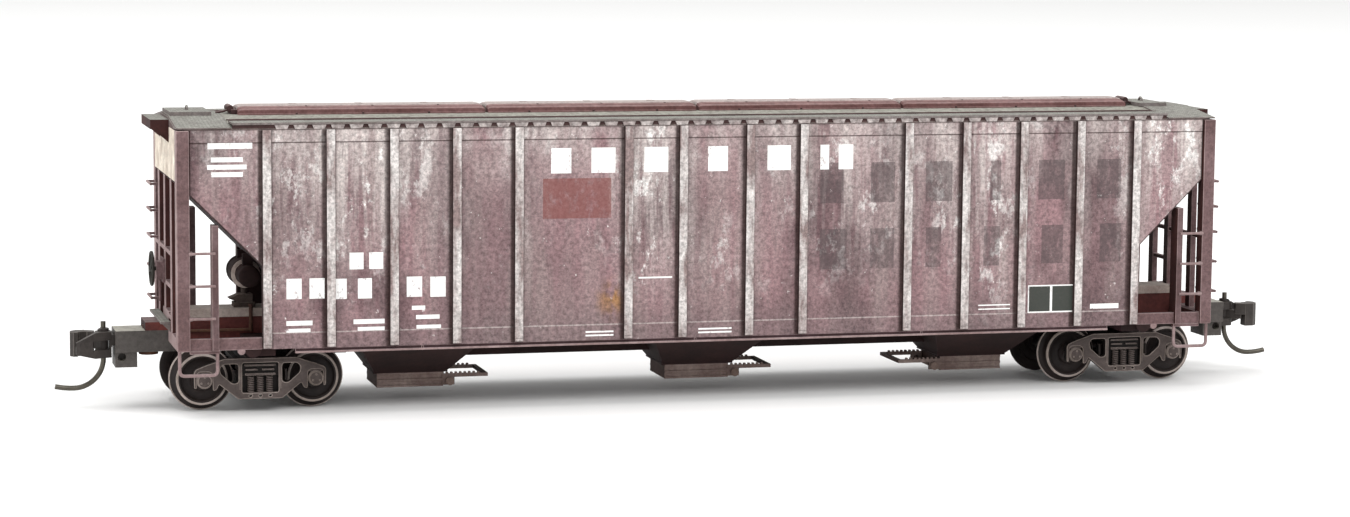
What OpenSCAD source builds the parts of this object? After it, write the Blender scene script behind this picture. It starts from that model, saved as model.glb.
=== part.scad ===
// Covered hopper car, N scale (1:160), three outlets, on 9 mm gauge wheels.
// X runs along the car, Z is up, and z = 0 is the lowest point of the wheel flanges.

/* [Body] */
// Length over the corner posts
body_len = 105.4; // [88:0.1:127]
// Width over the side sheets
body_w = 19.2; // [16:0.1:23.1]
// Underside of the side sills
sill_z = 6.48; // [6.4:0.02:7]
// Height of the side sheets
side_h = 20.9; // [17.4:0.1:25.1]
// Thickness of the moulded walls
wall = 0.6; // [0.5:0.05:0.75]
// Depth of a rib in front of the side sheet
rib_d = 0.45; // [0.3:0.05:0.6]
// Width of a rib
rib_w = 0.85; // [0.6:0.05:1.1]
// Length of the open space at each end
end_space = 8.1; // [7.4:0.1:9.7]
// Width of a corner post along the car
post_w = 1.2; // [1:0.05:1.4]

/* [Roof] */
// Width of a trough hatch cover
hatch_w = 5.5; // [4.6:0.1:6.6]
// Height of a hatch cover
hatch_h = 0.87; // [0.6:0.01:1.1]
// Distance from the body end to the end of the hatches
hatch_inset = 6.7; // [6:0.1:8]
// Width of a running board
board_w = 3.05; // [2.5:0.05:3.6]

/* [Hoppers] */
// Length of a discharge chute where it leaves the floor
bay_len = 12; // [10:0.1:14.4]
// Length of an outlet gate
gate_len = 6.6; // [5.5:0.1:7.9]
// Width of an outlet gate
gate_w = 5.9; // [4.9:0.1:7]
// Reach of the rack frame beside an outlet gate
rack_len = 4.5; // [3.8:0.1:5.4]
// Distance from the truck centre to the nearest bay
truck_to_bay = 15.3; // [15:0.1:18.4]

/* [Trucks] */
// Distance from the body end to the truck centre
truck_inset = 8.2; // [8:0.1:9.8]
// Distance between the two axles of a truck
wheelbase = 10.7; // [9.6:0.1:12.8]
// Radius of the wheel tread
tread_r = 2.5; // [2.1:0.05:2.6]
// Height of the wheel flange
flange_h = 0.6; // [0.4:0.05:0.7]
// Width between the wheel backs
back_to_back = 7.7; // [7.4:0.05:7.9]
// Radius of an axle
axle_r = 0.6; // [0.5:0.05:0.7]
// Radius of the truck mounting pin
pin_r = 0.9; // [0.75:0.05:1.05]

/* [Couplers] */
// Reach of the coupler pin axis beyond the body end
coupler_reach = 6.03; // [5.9:0.01:7.2]
// Width of the draft gear box
box_w = 4.1; // [4:0.1:4.9]
// Radius of the trip pin wire
trip_r = 0.25; // [0.2:0.01:0.28]

/* [Clearances] */
// Radial clearance of a running fit
run_gap = 0.05; // [0.03:0.01:0.08]
// Clearance between parts that are put together
fit_gap = 0.02; // [0.01:0.01:0.05]

/* [Hidden] */
$fn = 48;

// Body frame
half_len = body_len / 2;
half_w = body_w / 2;
side_top = sill_z + side_h;          // underside of the roof edge
sheet_end = half_len - post_w - fit_gap;
cut_x = half_len - end_space;        // inner edge of the open end space
slope_top = side_top - 4.87;         // where the slope sheet meets the end panel
slope_foot = sill_z;
// The underside of a slope sheet runs at 45 degrees: z = x - slope_k
slope_k = half_len - slope_top;
slope_t = wall * sqrt(2);            // the sheet's thickness measured along Z
floor_end = slope_foot + slope_k;    // x where the slope sheet meets the floor
sill_top = sill_z + 1.15;

// Ribs: two close pairs by the centre, then an even row out to the open end space
rib_inner = 3.4;
rib_middle = 8.9;
rib_first = 19.8;
rib_last = cut_x - rib_w / 2;
rib_count = 5;
rib_xs = [rib_inner, rib_middle, for (i = [0:rib_count - 1]) rib_first + i * (rib_last - rib_first) / (rib_count - 1)];

// Roof
ridge_z = side_top + 0.92;
eave_z = side_top + 0.15;
eave_y = half_w + 0.15;
ridge_half = hatch_w / 2 + 0.1;
hatch_xs = [-half_len + hatch_inset, -21.5, 0, 21.5, half_len - hatch_inset];
board_z = side_top + 0.5;
board_t = 0.2;
board_half = half_len - 5.3;
board_y = half_w + 0.33;

// Running gear heights
axle_z = tread_r + flange_h;
wheel_back = back_to_back / 2;
wheel_face = wheel_back + 1.4;
frame_y = wheel_face + 1.05;         // inner face of a truck side frame
frame_t = 0.8;
truck_x = half_len - truck_inset;
bolster_top = 5.3;
body_bolster_z = sill_z - 0.73;
sill_half = 1.6;                     // half width of the centre sill
sill_low = 4.15;                     // underside of the centre sill between the bays
beam_z = 8.6;                        // top of the centre sill in the end space
cover_z = 9.4;                       // top of its cover

// Hoppers
bay_x = truck_x - truck_to_bay;
gate_z = 1.4;
gate_top = 2.85;
bay_xs = [-bay_x, 0, bay_x];
rack_dirs = [1, 1, -1];
shaft_r = 0.22;
shaft_z = gate_z + 0.5;
shaft_out = 0.65;                    // from the gate's end to the pinion shaft
rail_w = 0.35;

// Couplers
box_top = 7.55;
draft_top = beam_z - 0.25;           // top of the draft sill over the coupler box
box_low = 5.47;
lid_t = 0.5;
box_roof = 0.45;
box_front = half_len + 5.04;
box_back = half_len - 0.7;
pivot_x = half_len + 1.7;
pin_x = half_len + coupler_reach;
post_r = 0.85;
screw_r = 0.55;
cavity_half = box_w / 2 - 0.5;
shank_low = box_low + lid_t + run_gap;
shank_high = box_top - box_roof - run_gap;
shank_mid = (shank_low + shank_high) / 2;
shank_half = 0.85;
head_low = 4.85;
head_high = 7.35;
plate_low = 5.6;                     // top of the lower head plate
plate_high = 6.56;                   // underside of the upper head plate
guard_z = 6.1;                       // where the two head halves meet

paint = [0.50, 0.41, 0.42];
deck = [0.60, 0.60, 0.56];
rust = [0.36, 0.20, 0.19];
cover = [0.48, 0.27, 0.25];
frame_col = [0.40, 0.36, 0.34];
steel = [0.55, 0.54, 0.52];
black = [0.27, 0.25, 0.24];

module block(x0, x1, y0, y1, z0, z1) {
    translate([x0, y0, z0]) cube([x1 - x0, y1 - y0, z1 - z0]);
}

// Both sides of the car, mirrored in Y
module both_sides() {
    children();
    mirror([0, 1, 0]) children();
}

// Both ends of the car, mirrored in X
module both_ends() {
    children();
    mirror([1, 0, 0]) children();
}

// A coupler end: end a is at -X, turned half round from end b
module coupler_end(a) {
    rotate([0, 0, a ? 180 : 0]) children();
}

// An outline drawn in X and Z, given its width along Y
module side_profile(points, y0, y1) {
    translate([0, y1, 0]) rotate([90, 0, 0]) linear_extrude(y1 - y0) polygon(points);
}

// An outline drawn in Y and Z, given its length along X
module cross_profile(points, x0, x1) {
    translate([x0, 0, 0]) rotate([90, 0, 90]) linear_extrude(x1 - x0) polygon(points);
}

module rod_x(x0, x1, y, z, r) {
    translate([x0, y, z]) rotate([0, 90, 0]) cylinder(h = x1 - x0, r = r);
}

module rod_y(x, y0, y1, z, r) {
    translate([x, y0, z]) rotate([-90, 0, 0]) cylinder(h = y1 - y0, r = r);
}

module rod_z(x, y, z0, z1, r) {
    translate([x, y, z0]) cylinder(h = z1 - z0, r = r);
}

// ---- body ----

module side_sheet() {
    diag_top = sheet_end - slope_k;
    diag_low = cut_x - slope_k;
    side_profile([
        [-cut_x, sill_z], [cut_x, sill_z], [cut_x, diag_low], [sheet_end, diag_top],
        [sheet_end, side_top], [-sheet_end, side_top], [-sheet_end, diag_top], [-cut_x, diag_low]
    ], half_w - wall, half_w);
}

module slope_sheet() {
    top_x = half_len - wall;
    inner = half_w - wall;
    side_profile([
        [floor_end - slope_t, slope_foot], [floor_end, slope_foot], [half_len, slope_top],
        [half_len, side_top], [top_x, side_top], [top_x, slope_top + slope_t - wall]
    ], -inner, inner);
}

// The end panel is cut back where the corner posts stand
module post_corners() {
    both_ends() both_sides()
        block(sheet_end, half_len + 1, half_w - 1 - fit_gap, half_w + 1, 0, side_top + 1);
}

module body_shell() {
    color(paint) difference() {
        union() {
            both_sides() side_sheet();
            both_ends() slope_sheet();
            both_sides() both_ends() for (x = rib_xs)
                block(x - rib_w / 2, x + rib_w / 2, half_w, half_w + rib_d, sill_z + 0.35, side_top);
        }
        post_corners();
    }
}

module roof() {
    roof_t = 0.6;
    inner = half_w - wall - run_gap;
    color(deck) {
        cross_profile([
            [-eave_y, side_top], [eave_y, side_top], [eave_y, eave_z], [ridge_half, ridge_z],
            [-ridge_half, ridge_z], [-eave_y, eave_z]
        ], -half_len + 0.75, half_len - 0.75);
        both_ends() cross_profile([
            [-eave_y + 1.2, side_top], [eave_y - 1.2, side_top], [eave_y - 1.2, eave_z], [ridge_half, ridge_z - 0.05],
            [-ridge_half, ridge_z - 0.05], [-eave_y + 1.2, eave_z]
        ], half_len - 0.75, half_len);
        block(-half_len + 3, half_len - 3, -inner, inner, side_top - roof_t, side_top);
    }
}

// A small arched lifting eye
module lift_eye() {
    rotate([90, 0, 90]) rotate_extrude(angle = 180) translate([0.4, 0]) circle(r = 0.12, $fn = 16);
}

// Trough hatch cover i, from hatch_xs[i] to hatch_xs[i + 1]
module hatch_cover(i) {
    gap = 0.14;
    x0 = hatch_xs[i] + gap;
    x1 = hatch_xs[i + 1] - gap;
    h = hatch_w / 2;
    color(cover) {
        cross_profile([
            [-h, ridge_z], [h, ridge_z], [h, ridge_z + 0.2], [h - 0.12, ridge_z + 0.25], [h - 0.12, ridge_z + 0.5],
            [h - 0.55, ridge_z + hatch_h], [-h + 0.55, ridge_z + hatch_h], [-h + 0.12, ridge_z + 0.5],
            [-h + 0.12, ridge_z + 0.25], [-h, ridge_z + 0.2]
        ], x0, x1);
        for (x = [x0 + 3.8, x1 - 3.8]) {
            block(x - 0.35, x + 0.35, -h + 0.7, h - 0.7, ridge_z + hatch_h, ridge_z + hatch_h + 0.12);
            block(x - 0.25, x + 0.25, -h - 0.1, -h, ridge_z, ridge_z + 0.45);
            block(x - 0.25, x + 0.25, h, h + 0.1, ridge_z, ridge_z + 0.45);
        }
        if (i == 0) block(x0 - 0.95, x0, -1.7, 1.7, ridge_z, ridge_z + hatch_h);
        if (i == 3) block(x1, x1 + 0.95, -1.7, 1.7, ridge_z, ridge_z + hatch_h);
    }
}

// Running board along an eave, on a row of small brackets
module running_board() {
    pitch = 1.78;
    n = floor(2 * (board_half - 0.9) / pitch);
    color(deck) {
        block(-board_half, board_half, board_y - board_w, board_y, board_z, board_z + board_t);
        for (i = [0:n])
            block(i * pitch - n * pitch / 2 - 0.35, i * pitch - n * pitch / 2 + 0.35, board_y - 0.75, board_y - 0.23,
                eave_z + 0.09, board_z);
    }
}

// Crossover at a roof end: a raised pad on the roof and a shelf with two gussets outside the end
module end_walk(pad_x0, pad_x1) {
    shelf_out = half_len + 1.75;
    shelf_z = side_top + 0.66;
    half = 4;
    color(deck) {
        block(pad_x0, pad_x1, -3.3, 3.3, ridge_z, ridge_z + 0.4);
        translate([(pad_x0 + pad_x1) / 2, 0, ridge_z + 0.35]) lift_eye();
        block(half_len, shelf_out, -half, half, shelf_z - 0.35, shelf_z);
        block(shelf_out - 0.25, shelf_out, -half, half, shelf_z - 0.9, shelf_z - 0.35);
        both_sides() side_profile([
            [half_len, shelf_z - 2.2], [half_len, shelf_z - 0.35], [shelf_out - 0.25, shelf_z - 0.35],
            [shelf_out - 0.25, shelf_z - 0.9]
        ], half - 0.35, half);
    }
}

// ---- underframe and hoppers ----

module underframe() {
    inner = half_w - wall - fit_gap;
    floor_half = floor_end - slope_t - fit_gap;
    hole_r = pin_r + fit_gap;
    color(rust) difference() {
        union() {
            block(-floor_half, floor_half, -inner, inner, sill_z, sill_z + wall);
            // centre sill between the bays
            both_ends() block(bay_len / 2, bay_x - bay_len / 2, -1.3, 1.3, sill_low, sill_z);
            // centre sill over the trucks, and its cover
            both_ends() {
                block(bay_x + bay_len / 2 + fit_gap, cut_x - 5.8, -sill_half, sill_half, body_bolster_z, sill_z);
                block(cut_x - 5.8, box_back, -sill_half, sill_half, body_bolster_z, beam_z);
                block(cut_x - 4.6, half_len - wall - fit_gap, -sill_half, sill_half, beam_z, cover_z);
                block(box_back, half_len + 2.2, -box_w / 2, box_w / 2, box_top, draft_top);
                block(box_back, half_len - wall - fit_gap, -sill_half, sill_half, draft_top, beam_z);
                // body bolster with its centre plate
                block(truck_x - 1.2, truck_x + 1.2, -half_w + wall + fit_gap, half_w - wall - fit_gap,
                    body_bolster_z, sill_z + 0.5);
                rod_z(truck_x, 0, bolster_top + run_gap, body_bolster_z, 2.2);
                both_sides() block(truck_x + 0.25, truck_x + 1.75, half_w - wall - fit_gap - 0.3,
                    half_w - wall - fit_gap, sill_z - 0.35, sill_z + 0.5);
                both_sides() jack_pad();
            }
        }
        both_ends() rod_z(truck_x, 0, 0, 8.2, hole_r);
        both_ends() rod_z(pivot_x, 0, box_top - 1, beam_z - 0.6, screw_r + fit_gap);
    }
}

// Half-round jacking pad under the side sill
module jack_pad() {
    difference() {
        rod_y(truck_x + 1, half_w - wall - fit_gap - 0.3, half_w - 0.1, sill_z - fit_gap, 0.78);
        block(truck_x, truck_x + 2, half_w - 2, half_w + 1, sill_z - fit_gap, sill_z + 2);
    }
}

module ballast_weight() {
    color(steel) block(-floor_end + 3, floor_end - 3, -half_w + 2, half_w - 2, sill_z + wall, sill_z + wall + 1.3);
}

// Discharge chute: a funnel from the floor down to the outlet gate
module hopper_bay(i) {
    x = bay_xs[i];
    top_x = bay_len / 2;
    low_x = gate_len / 2 + 0.25;
    top_y = half_w - 0.8;
    low_y = gate_w / 2 + 0.1;
    color(rust) translate([x, 0, 0]) {
        intersection() {
            side_profile([[-low_x, gate_top], [low_x, gate_top], [top_x, sill_z], [-top_x, sill_z]], -half_w, half_w);
            cross_profile([[-low_y, gate_top], [low_y, gate_top], [top_y, sill_z], [-top_y, sill_z]], -bay_len, bay_len);
        }
    }
}

// Outlet gate: a frame below the chute, with a rack frame to one side
module outlet_gate(i) {
    half = gate_len / 2;
    gy = gate_w / 2;
    rail_low = gate_z + 0.85;
    rail_top = rail_low + 0.35;
    teeth = floor((rack_len - 0.8) / 0.45);
    color(rust) translate([bay_xs[i], 0, 0]) mirror([rack_dirs[i] < 0 ? 1 : 0, 0, 0]) difference() {
        union() {
            block(-half, half, -gy + 0.1, gy - 0.1, gate_z, gate_top);
            block(-half, half, -gy, gy, gate_top - 0.25, gate_top);
            block(-half, half, -gy, gy, gate_z + 0.55, gate_z + 0.8);
            block(-half, half, -gy, gy, gate_z, gate_z + 0.2);
            both_sides() {
                block(half - 0.1, half + rack_len, gy - rail_w, gy, rail_low, rail_top);
                block(half - 0.1, half + shaft_out + 0.5, gy - rail_w, gy, gate_z + 0.1, rail_low + 0.1);
                for (t = [0:teeth - 1])
                    block(half + 0.3 + t * 0.45, half + 0.52 + t * 0.45, gy - rail_w, gy, rail_low + 0.1, rail_top + 0.16);
            }
            block(half + rack_len - 0.4, half + rack_len, -gy + 0.1, gy - 0.1, rail_low, rail_top);
        }
        rod_y(half + shaft_out, -gy - 1, gy + 1, shaft_z, shaft_r + run_gap);
    }
}

// The pinion shafts of the three gates, with a capstan at each end
module gate_shafts() {
    gy = gate_w / 2;
    color(black) for (i = [0:2]) translate([bay_xs[i], 0, 0]) mirror([rack_dirs[i] < 0 ? 1 : 0, 0, 0]) {
        x = gate_len / 2 + shaft_out;
        rod_y(x, -gy - 0.35, gy + 0.35, shaft_z, shaft_r);
        both_sides() rod_y(x, gy + fit_gap, gy + 0.35, shaft_z, 0.42);
    }
}

// ---- ends ----

// Corner posts, end sill, sills beside the open space, and the upright posts of one end, drawn at +X.
// centres lists the upright posts; bars lists cross bars as [z, y0, y1]
module end_cage(centres, bars) {
    post_y = half_w - 1;
    front = half_w + 0.4;
    thick = 0.6;
    color(paint) {
        both_sides() {
            block(half_len - post_w, half_len, post_y, front, sill_z, side_top);
            block(cut_x + fit_gap, half_len - post_w, half_w - wall, half_w, sill_z, sill_top);
            block(half_len - post_w, half_len, box_w / 2 + 0.15, post_y, sill_z, sill_top);
        }
        difference() {
            union() {
                for (y = centres) side_profile([
                    [half_len - thick, sill_top], [half_len, sill_top], [half_len, slope_top - fit_gap],
                    [half_len - thick, slope_top - thick - fit_gap]
                ], y - 0.55, y + 0.55);
                for (b = bars) block(half_len - 0.45, half_len, b[1], b[2], b[0] - 0.2, b[0] + 0.2);
            }
            block(half_len - thick - 1, half_len + 1, -box_w / 2 - fit_gap, box_w / 2 + fit_gap, 0, draft_top + fit_gap);
        }
        block(half_len - thick, half_len, -box_w / 2 - 0.15, box_w / 2 + 0.15, draft_top + fit_gap, cover_z);
    }
}

// Side ladder and its stirrup, drawn at +X on the +Y side
module ladder(has_end_rungs) {
    stile_x = half_len - 3.62;
    stile_w = 0.92;
    y0 = half_w + fit_gap;
    y1 = half_w + 0.4;
    stirrup_z = 3.95;
    rungs = [sill_z + 3.1, sill_z + 6.2, sill_z + 9.3];
    color(paint) {
        block(stile_x - stile_w / 2, stile_x + stile_w / 2, y0, y1, sill_z, stile_x - stile_w / 2 - slope_k);
        block(stile_x - stile_w / 2, stile_x + stile_w / 2, half_w - 1.1, y1, sill_top + fit_gap,
            stile_x - stile_w / 2 - slope_k - fit_gap);
        for (z = rungs) {
            rod_x(stile_x, half_len - post_w, y1 + 0.02, z, 0.15);
            block(half_len - post_w - 0.25, half_len - post_w, y0, y1, z - 0.2, z + 0.2);
        }
        for (x = [stile_x - 0.2, half_len - 0.25])
            block(x - 0.2, x + 0.2, y0 - 0.4, y0 - fit_gap, stirrup_z, sill_z);
        block(stile_x - 0.4, half_len - 0.05, y0 - 0.4, y0 - fit_gap, stirrup_z, stirrup_z + 0.3);
        block(stile_x - 0.4, half_len - post_w, y0 - 0.4, y0 + 0.1, sill_z - 0.3, sill_z);
        if (has_end_rungs) for (z = [9.7, 12.75, 15.8, 18.4, 21]) {
            rod_y(half_len + 0.7, half_w - 3.9, half_w - 0.3, z, 0.15);
            for (y = [half_w - 3.75, half_w - 0.6])
                block(half_len, half_len + 0.7, y, y + 0.25, z - 0.12, z + 0.12);
        }
    }
}

// ---- brake gear, on the -X end ----

wheel_y = 1.15;
wheel_z = 13.2;
brake_x = -half_len - 1.2;

module brake_wheel() {
    r = 1.58;
    color(black) translate([brake_x, wheel_y, wheel_z]) rotate([0, 90, 0]) {
        rotate_extrude() translate([r, 0]) circle(r = 0.15, $fn = 16);
        cylinder(h = 0.3, r = 0.3, center = true);
        for (a = [0:72:359]) rotate([0, 0, a]) translate([0.2, 0, 0]) rotate([0, 90, 0]) cylinder(h = r - 0.25, r = 0.1, $fn = 16);
        cylinder(h = 0.85, r = 0.2);
    }
}

module brake_housing() {
    x1 = -half_len - fit_gap;
    color(rust) difference() {
        union() {
            block(x1 - 0.75, x1, wheel_y - 0.8, wheel_y + 0.8, wheel_z - 1.0, wheel_z + 0.7);
            rod_z(x1 - 0.375, wheel_y, wheel_z - 3.2, wheel_z - 1.0, 0.12);
            block(x1 - 0.2, x1, wheel_y - 1.1, wheel_y + 1.9, wheel_z - 1.3, wheel_z + 1.0);
        }
        rod_x(x1 - 1, x1 - 0.2, wheel_y, wheel_z, 0.2 + run_gap);
    }
}

module brake_step() {
    x1 = -half_len - fit_gap;
    z = 8.45;
    color(deck) {
        block(x1 - 0.95, x1, wheel_y - 5.6, wheel_y + 4.5, z, z + 0.22);
        for (y = [wheel_y - 5.4, wheel_y + 4]) side_profile([[x1 - 0.8, z], [x1, z], [x1, z - 0.8]], y, y + 0.3);
    }
}

tank_x = -half_len + 7.7;
tank_z = 12.7;
tank_r = 1.4;

module air_reservoir() {
    length = 7;
    color(rust) {
        rod_y(tank_x, -length / 2, length / 2, tank_z, tank_r);
        both_sides() translate([tank_x, length / 2, tank_z]) rotate([-90, 0, 0]) cylinder(h = 0.3, r1 = tank_r, r2 = 0.9);
        // saddles up to the slope sheet
        both_sides() side_profile([
            [tank_x - 0.5, tank_z + tank_r - 0.35], [tank_x + 0.5, tank_z + tank_r - 0.35],
            [tank_x + 0.5, -tank_x - 0.5 - slope_k - fit_gap], [tank_x - 0.5, -tank_x + 0.5 - slope_k - fit_gap]
        ], 1.6, 2.2);
    }
}

module control_valve() {
    z = cover_z;
    color(rust) {
        block(tank_x - 1.2, tank_x + 0.9, -0.9, 0.9, z, z + 0.5);
        side_profile([
            [tank_x - 1.7, z + 0.9], [tank_x - 0.7, z + 0.5], [tank_x + 0.7, z + 0.5], [tank_x + 0.7, z + 1.3],
            [tank_x - 0.7, z + 1.3]
        ], -0.7, 0.7);
        rod_z(tank_x - 0.1, 0, z + 1.3, tank_z - tank_r - fit_gap, 0.3);
    }
}

// Pipe runs from the valve along the centre sill
module brake_pipes() {
    x = tank_x + 0.3;
    y = sill_half + 0.35;
    low = 7.4;
    high = cover_z + 0.25;
    color(black) both_sides() {
        rod_y(x, 0.9 + fit_gap, y, high, 0.14);
        rod_z(x, y, low - 0.2, high + 0.2, 0.18);
        rod_x(-half_len + 1.6, x, y, low, 0.14);
    }
}

// ---- trucks, drawn about their own centre ----

module frame_outline() {
    j = wheelbase / 2;
    polygon([
        [-2.4, 1.35], [2.4, 1.35], [j - 1, 2.5], [j - 0.85, 2.15], [j + 0.85, 2.15], [j + 1, 2.6], [j + 1, 4.2],
        [j + 0.55, 4.45], [j - 0.65, 4.6], [j - 1.75, bolster_top], [-j + 1.75, bolster_top], [-j + 0.65, 4.6],
        [-j - 0.55, 4.45], [-j - 1, 4.2], [-j - 1, 2.6], [-j - 0.85, 2.15], [-j + 0.85, 2.15], [-j + 1, 2.5]
    ]);
}

// A side frame with its windows, spring nest and journal boxes
module side_frame() {
    j = wheelbase / 2;
    y1 = frame_y + frame_t;
    difference() {
        union() {
            translate([0, y1, 0]) rotate([90, 0, 0]) linear_extrude(frame_t) frame_outline();
            for (s = [-1, 1]) {
                rod_y(s * j, y1, y1 + 0.25, axle_z + 0.15, 0.72);
                rod_y(s * j, y1 + 0.25, y1 + 0.37, axle_z + 0.15, 0.55);
            }
            block(-1.9, 1.9, y1, y1 + 0.2, 3.65, 5.05);
            block(-2.2, 2.2, y1, y1 + 0.2, 1.35, 1.9);
        }
        for (s = [-1, 1]) {
            // window beside the spring nest
            mirror([s < 0 ? 1 : 0, 0, 0]) side_profile([
                [2.15, 2.9], [2.75, 2.75], [3.75, 3.35], [3.75, 4.3], [3.2, 4.75], [2.15, 4.75]
            ], frame_y - 1, y1 + 1);
            // cone for the pointed axle end
            translate([s * j, frame_y - 0.01, axle_z]) rotate([-90, 0, 0])
                cylinder(h = 0.66, r1 = 0.72, r2 = 0.1);
        }
        block(-1.65, 1.65, frame_y + 0.3, y1 + 1, 1.9, 3.65);
    }
    for (x = [-1.05, 0, 1.05]) rod_z(x, frame_y + 0.5, 1.9, 3.65, 0.42);
}

module truck_frame(s) {
    color(frame_col) translate([s * truck_x, 0, 0]) difference() {
        union() {
            both_sides() side_frame();
            block(-1.3, 1.3, -frame_y, frame_y, 3.95, bolster_top);
            for (e = [-1, 1]) {
                // brake beams with a shoe behind each wheel
                block(e > 0 ? 1.3 : -1.75, e > 0 ? 1.75 : -1.3, -frame_y, frame_y, 3.95, 4.35);
                both_sides() block(e > 0 ? 1.5 : -1.95, e > 0 ? 1.95 : -1.5, wheel_back + 0.35, wheel_face - 0.1, 2.7, 3.95);
            }
        }
        rod_z(0, 0, 0, 9, pin_r + run_gap);
    }
}

module truck_pin(s) {
    color(black) translate([s * truck_x, 0, 0]) {
        rod_z(0, 0, 3.95 - 0.65, 3.95 - run_gap, 1.5);
        rod_z(0, 0, 3.95 - run_gap, 7.8, pin_r);
    }
}

module axle(s, e) {
    color(steel) translate([s * truck_x + e * wheelbase / 2, 0, axle_z]) rotate([-90, 0, 0]) {
        cylinder(h = 2 * frame_y - 0.3, r = axle_r, center = true);
        both_z() translate([0, 0, frame_y - 0.15]) cylinder(h = 0.7, r1 = axle_r, r2 = 0.06);
    }
}

module both_z() {
    children();
    mirror([0, 0, 1]) children();
}

// A pair of flanged wheels on one axle
module wheels(s, e) {
    r = tread_r;
    f = tread_r + flange_h;
    color(steel) translate([s * truck_x + e * wheelbase / 2, 0, axle_z]) rotate([-90, 0, 0]) both_z()
        rotate_extrude($fn = 96) polygon([
            [axle_r, wheel_back - 0.15], [1.1, wheel_back - 0.15], [1.2, wheel_back + 0.25], [r - 0.55, wheel_back + 0.25],
            [r - 0.45, wheel_back], [f - 0.12, wheel_back], [f, wheel_back + 0.14], [f - 0.1, wheel_back + 0.34],
            [r + 0.06, wheel_back + 0.55], [r, wheel_face], [r - 0.42, wheel_face], [r - 0.5, wheel_face - 0.35],
            [1.15, wheel_face - 0.35], [1.05, wheel_face], [axle_r, wheel_face]
        ]);
}

// ---- couplers, drawn at +X ----

module coupler_box() {
    y = box_w / 2;
    z0 = box_low + lid_t;
    color(black) difference() {
        union() {
            difference() {
                block(box_back, box_front, -y, y, z0, box_top);
                block(box_back + 0.6, box_front + 1, -cavity_half, cavity_half, z0 - 1, box_top - box_roof);
            }
            rod_z(pivot_x, 0, z0, box_top - box_roof, post_r);
        }
        rod_z(pivot_x, 0, z0 - 1, box_top + 1, screw_r + fit_gap);
    }
}

// Lid with the retaining lug under its front edge
module box_lid() {
    y = box_w / 2;
    color(black) difference() {
        union() {
            block(box_back, box_front, -y, y, box_low, box_low + lid_t);
            block(box_front - 2.1, box_front, -1.6, 1.6, 3.95, box_low);
        }
        rod_z(pivot_x, 0, box_low - 1, box_low + lid_t + 1, screw_r + fit_gap);
        rod_y(box_front - 0.65, -3, -0.6, 4.95, 0.4);
        rod_y(box_front - 0.65, 0.6, 3, 4.95, 0.4);
    }
}

module box_screw() {
    color(steel) difference() {
        union() {
            rod_z(pivot_x, 0, box_low, beam_z - 0.7, screw_r);
            rod_z(pivot_x, 0, box_low - 0.45, box_low, 0.95);
        }
        block(pivot_x - 2, pivot_x + 2, -0.12, 0.12, box_low - 1, box_low - 0.25);
    }
}

module shank_blank(z0, z1) {
    difference() {
        union() {
            rod_z(pivot_x, 0, z0, z1, post_r + run_gap + 0.4);
            block(pivot_x, pin_x - 0.53, -shank_half, shank_half, z0, z1);
        }
        rod_z(pivot_x, 0, z0 - 1, z1 + 1, post_r + run_gap);
        block(pivot_x + post_r, pivot_x + post_r + 1.5, -0.5, 0.5, z0 - 1, z1 + 1);
    }
}

// Outline of the coupler head seen from above, without the knuckle
module head_plate(z0, z1) {
    difference() {
        union() {
            rod_z(pin_x, 0, z0, z1, 0.8);
            translate([0, 0, z0]) linear_extrude(z1 - z0) polygon([
                [pin_x - 0.73, -shank_half], [pin_x, -0.8], [pin_x + 0.75, 0.2], [pin_x + 0.9, 0.75], [pin_x + 1.6, 1.1],
                [pin_x + 1.1, 1.6], [pin_x, 1.1], [pin_x - 0.73, shank_half]
            ]);
        }
        rod_z(pin_x, 0, z0 - 1, z1 + 1, trip_r + run_gap);
    }
}

module guard_arm(z0, z1) {
    translate([0, 0, z0]) linear_extrude(z1 - z0) polygon([
        [pin_x + 0.95, 0.85], [pin_x + 1.75, 0.95], [pin_x + 2.6, 1.35], [pin_x + 3.1, 1.5], [pin_x + 3.15, 1.8],
        [pin_x + 2.4, 2.05], [pin_x + 1.1, 1.6]
    ]);
}

module shank_top() {
    color(black) {
        shank_blank(shank_mid, shank_high);
        head_plate(plate_high, head_high);
        guard_arm(guard_z, head_high);
        difference() {
            rod_z(pin_x, 0, head_high, head_high + 0.3, 0.55);
            rod_z(pin_x, 0, head_high - 1, head_high + 1, trip_r + run_gap);
        }
    }
}

module shank_bottom() {
    color(black) {
        shank_blank(shank_low, shank_mid);
        block(pin_x - 0.73, pin_x - 0.53, -shank_half, shank_half, head_low, shank_low);
        head_plate(head_low, plate_low);
        guard_arm(head_low, guard_z);
    }
}

module knuckle() {
    low = plate_low + fit_gap;
    high = plate_high - fit_gap;
    color(black) difference() {
        union() {
            rod_z(pin_x, 0, low, high, 0.46);
            translate([0, 0, low]) linear_extrude(high - low)
                polygon([[pin_x, -0.46], [pin_x + 1.3, -1.5], [pin_x + 1.6, -0.8], [pin_x + 0.3, 0.35]]);
            translate([0, 0, head_low + 0.05]) linear_extrude(head_high - head_low - 0.1)
                polygon([
                    [pin_x + 0.78, -0.75], [pin_x + 0.75, -1.25], [pin_x + 1.5, -1.75], [pin_x + 2.6, -1.7], [pin_x + 3.1, -1.2],
                    [pin_x + 3.17, -0.4], [pin_x + 2.85, 0.1], [pin_x + 2.45, 0.1], [pin_x + 2.3, -0.35],
                    [pin_x + 1.5, -0.6], [pin_x + 1, -0.35]
                ]);
        }
        rod_z(pin_x, 0, 0, 9, trip_r + fit_gap);
    }
}

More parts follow.
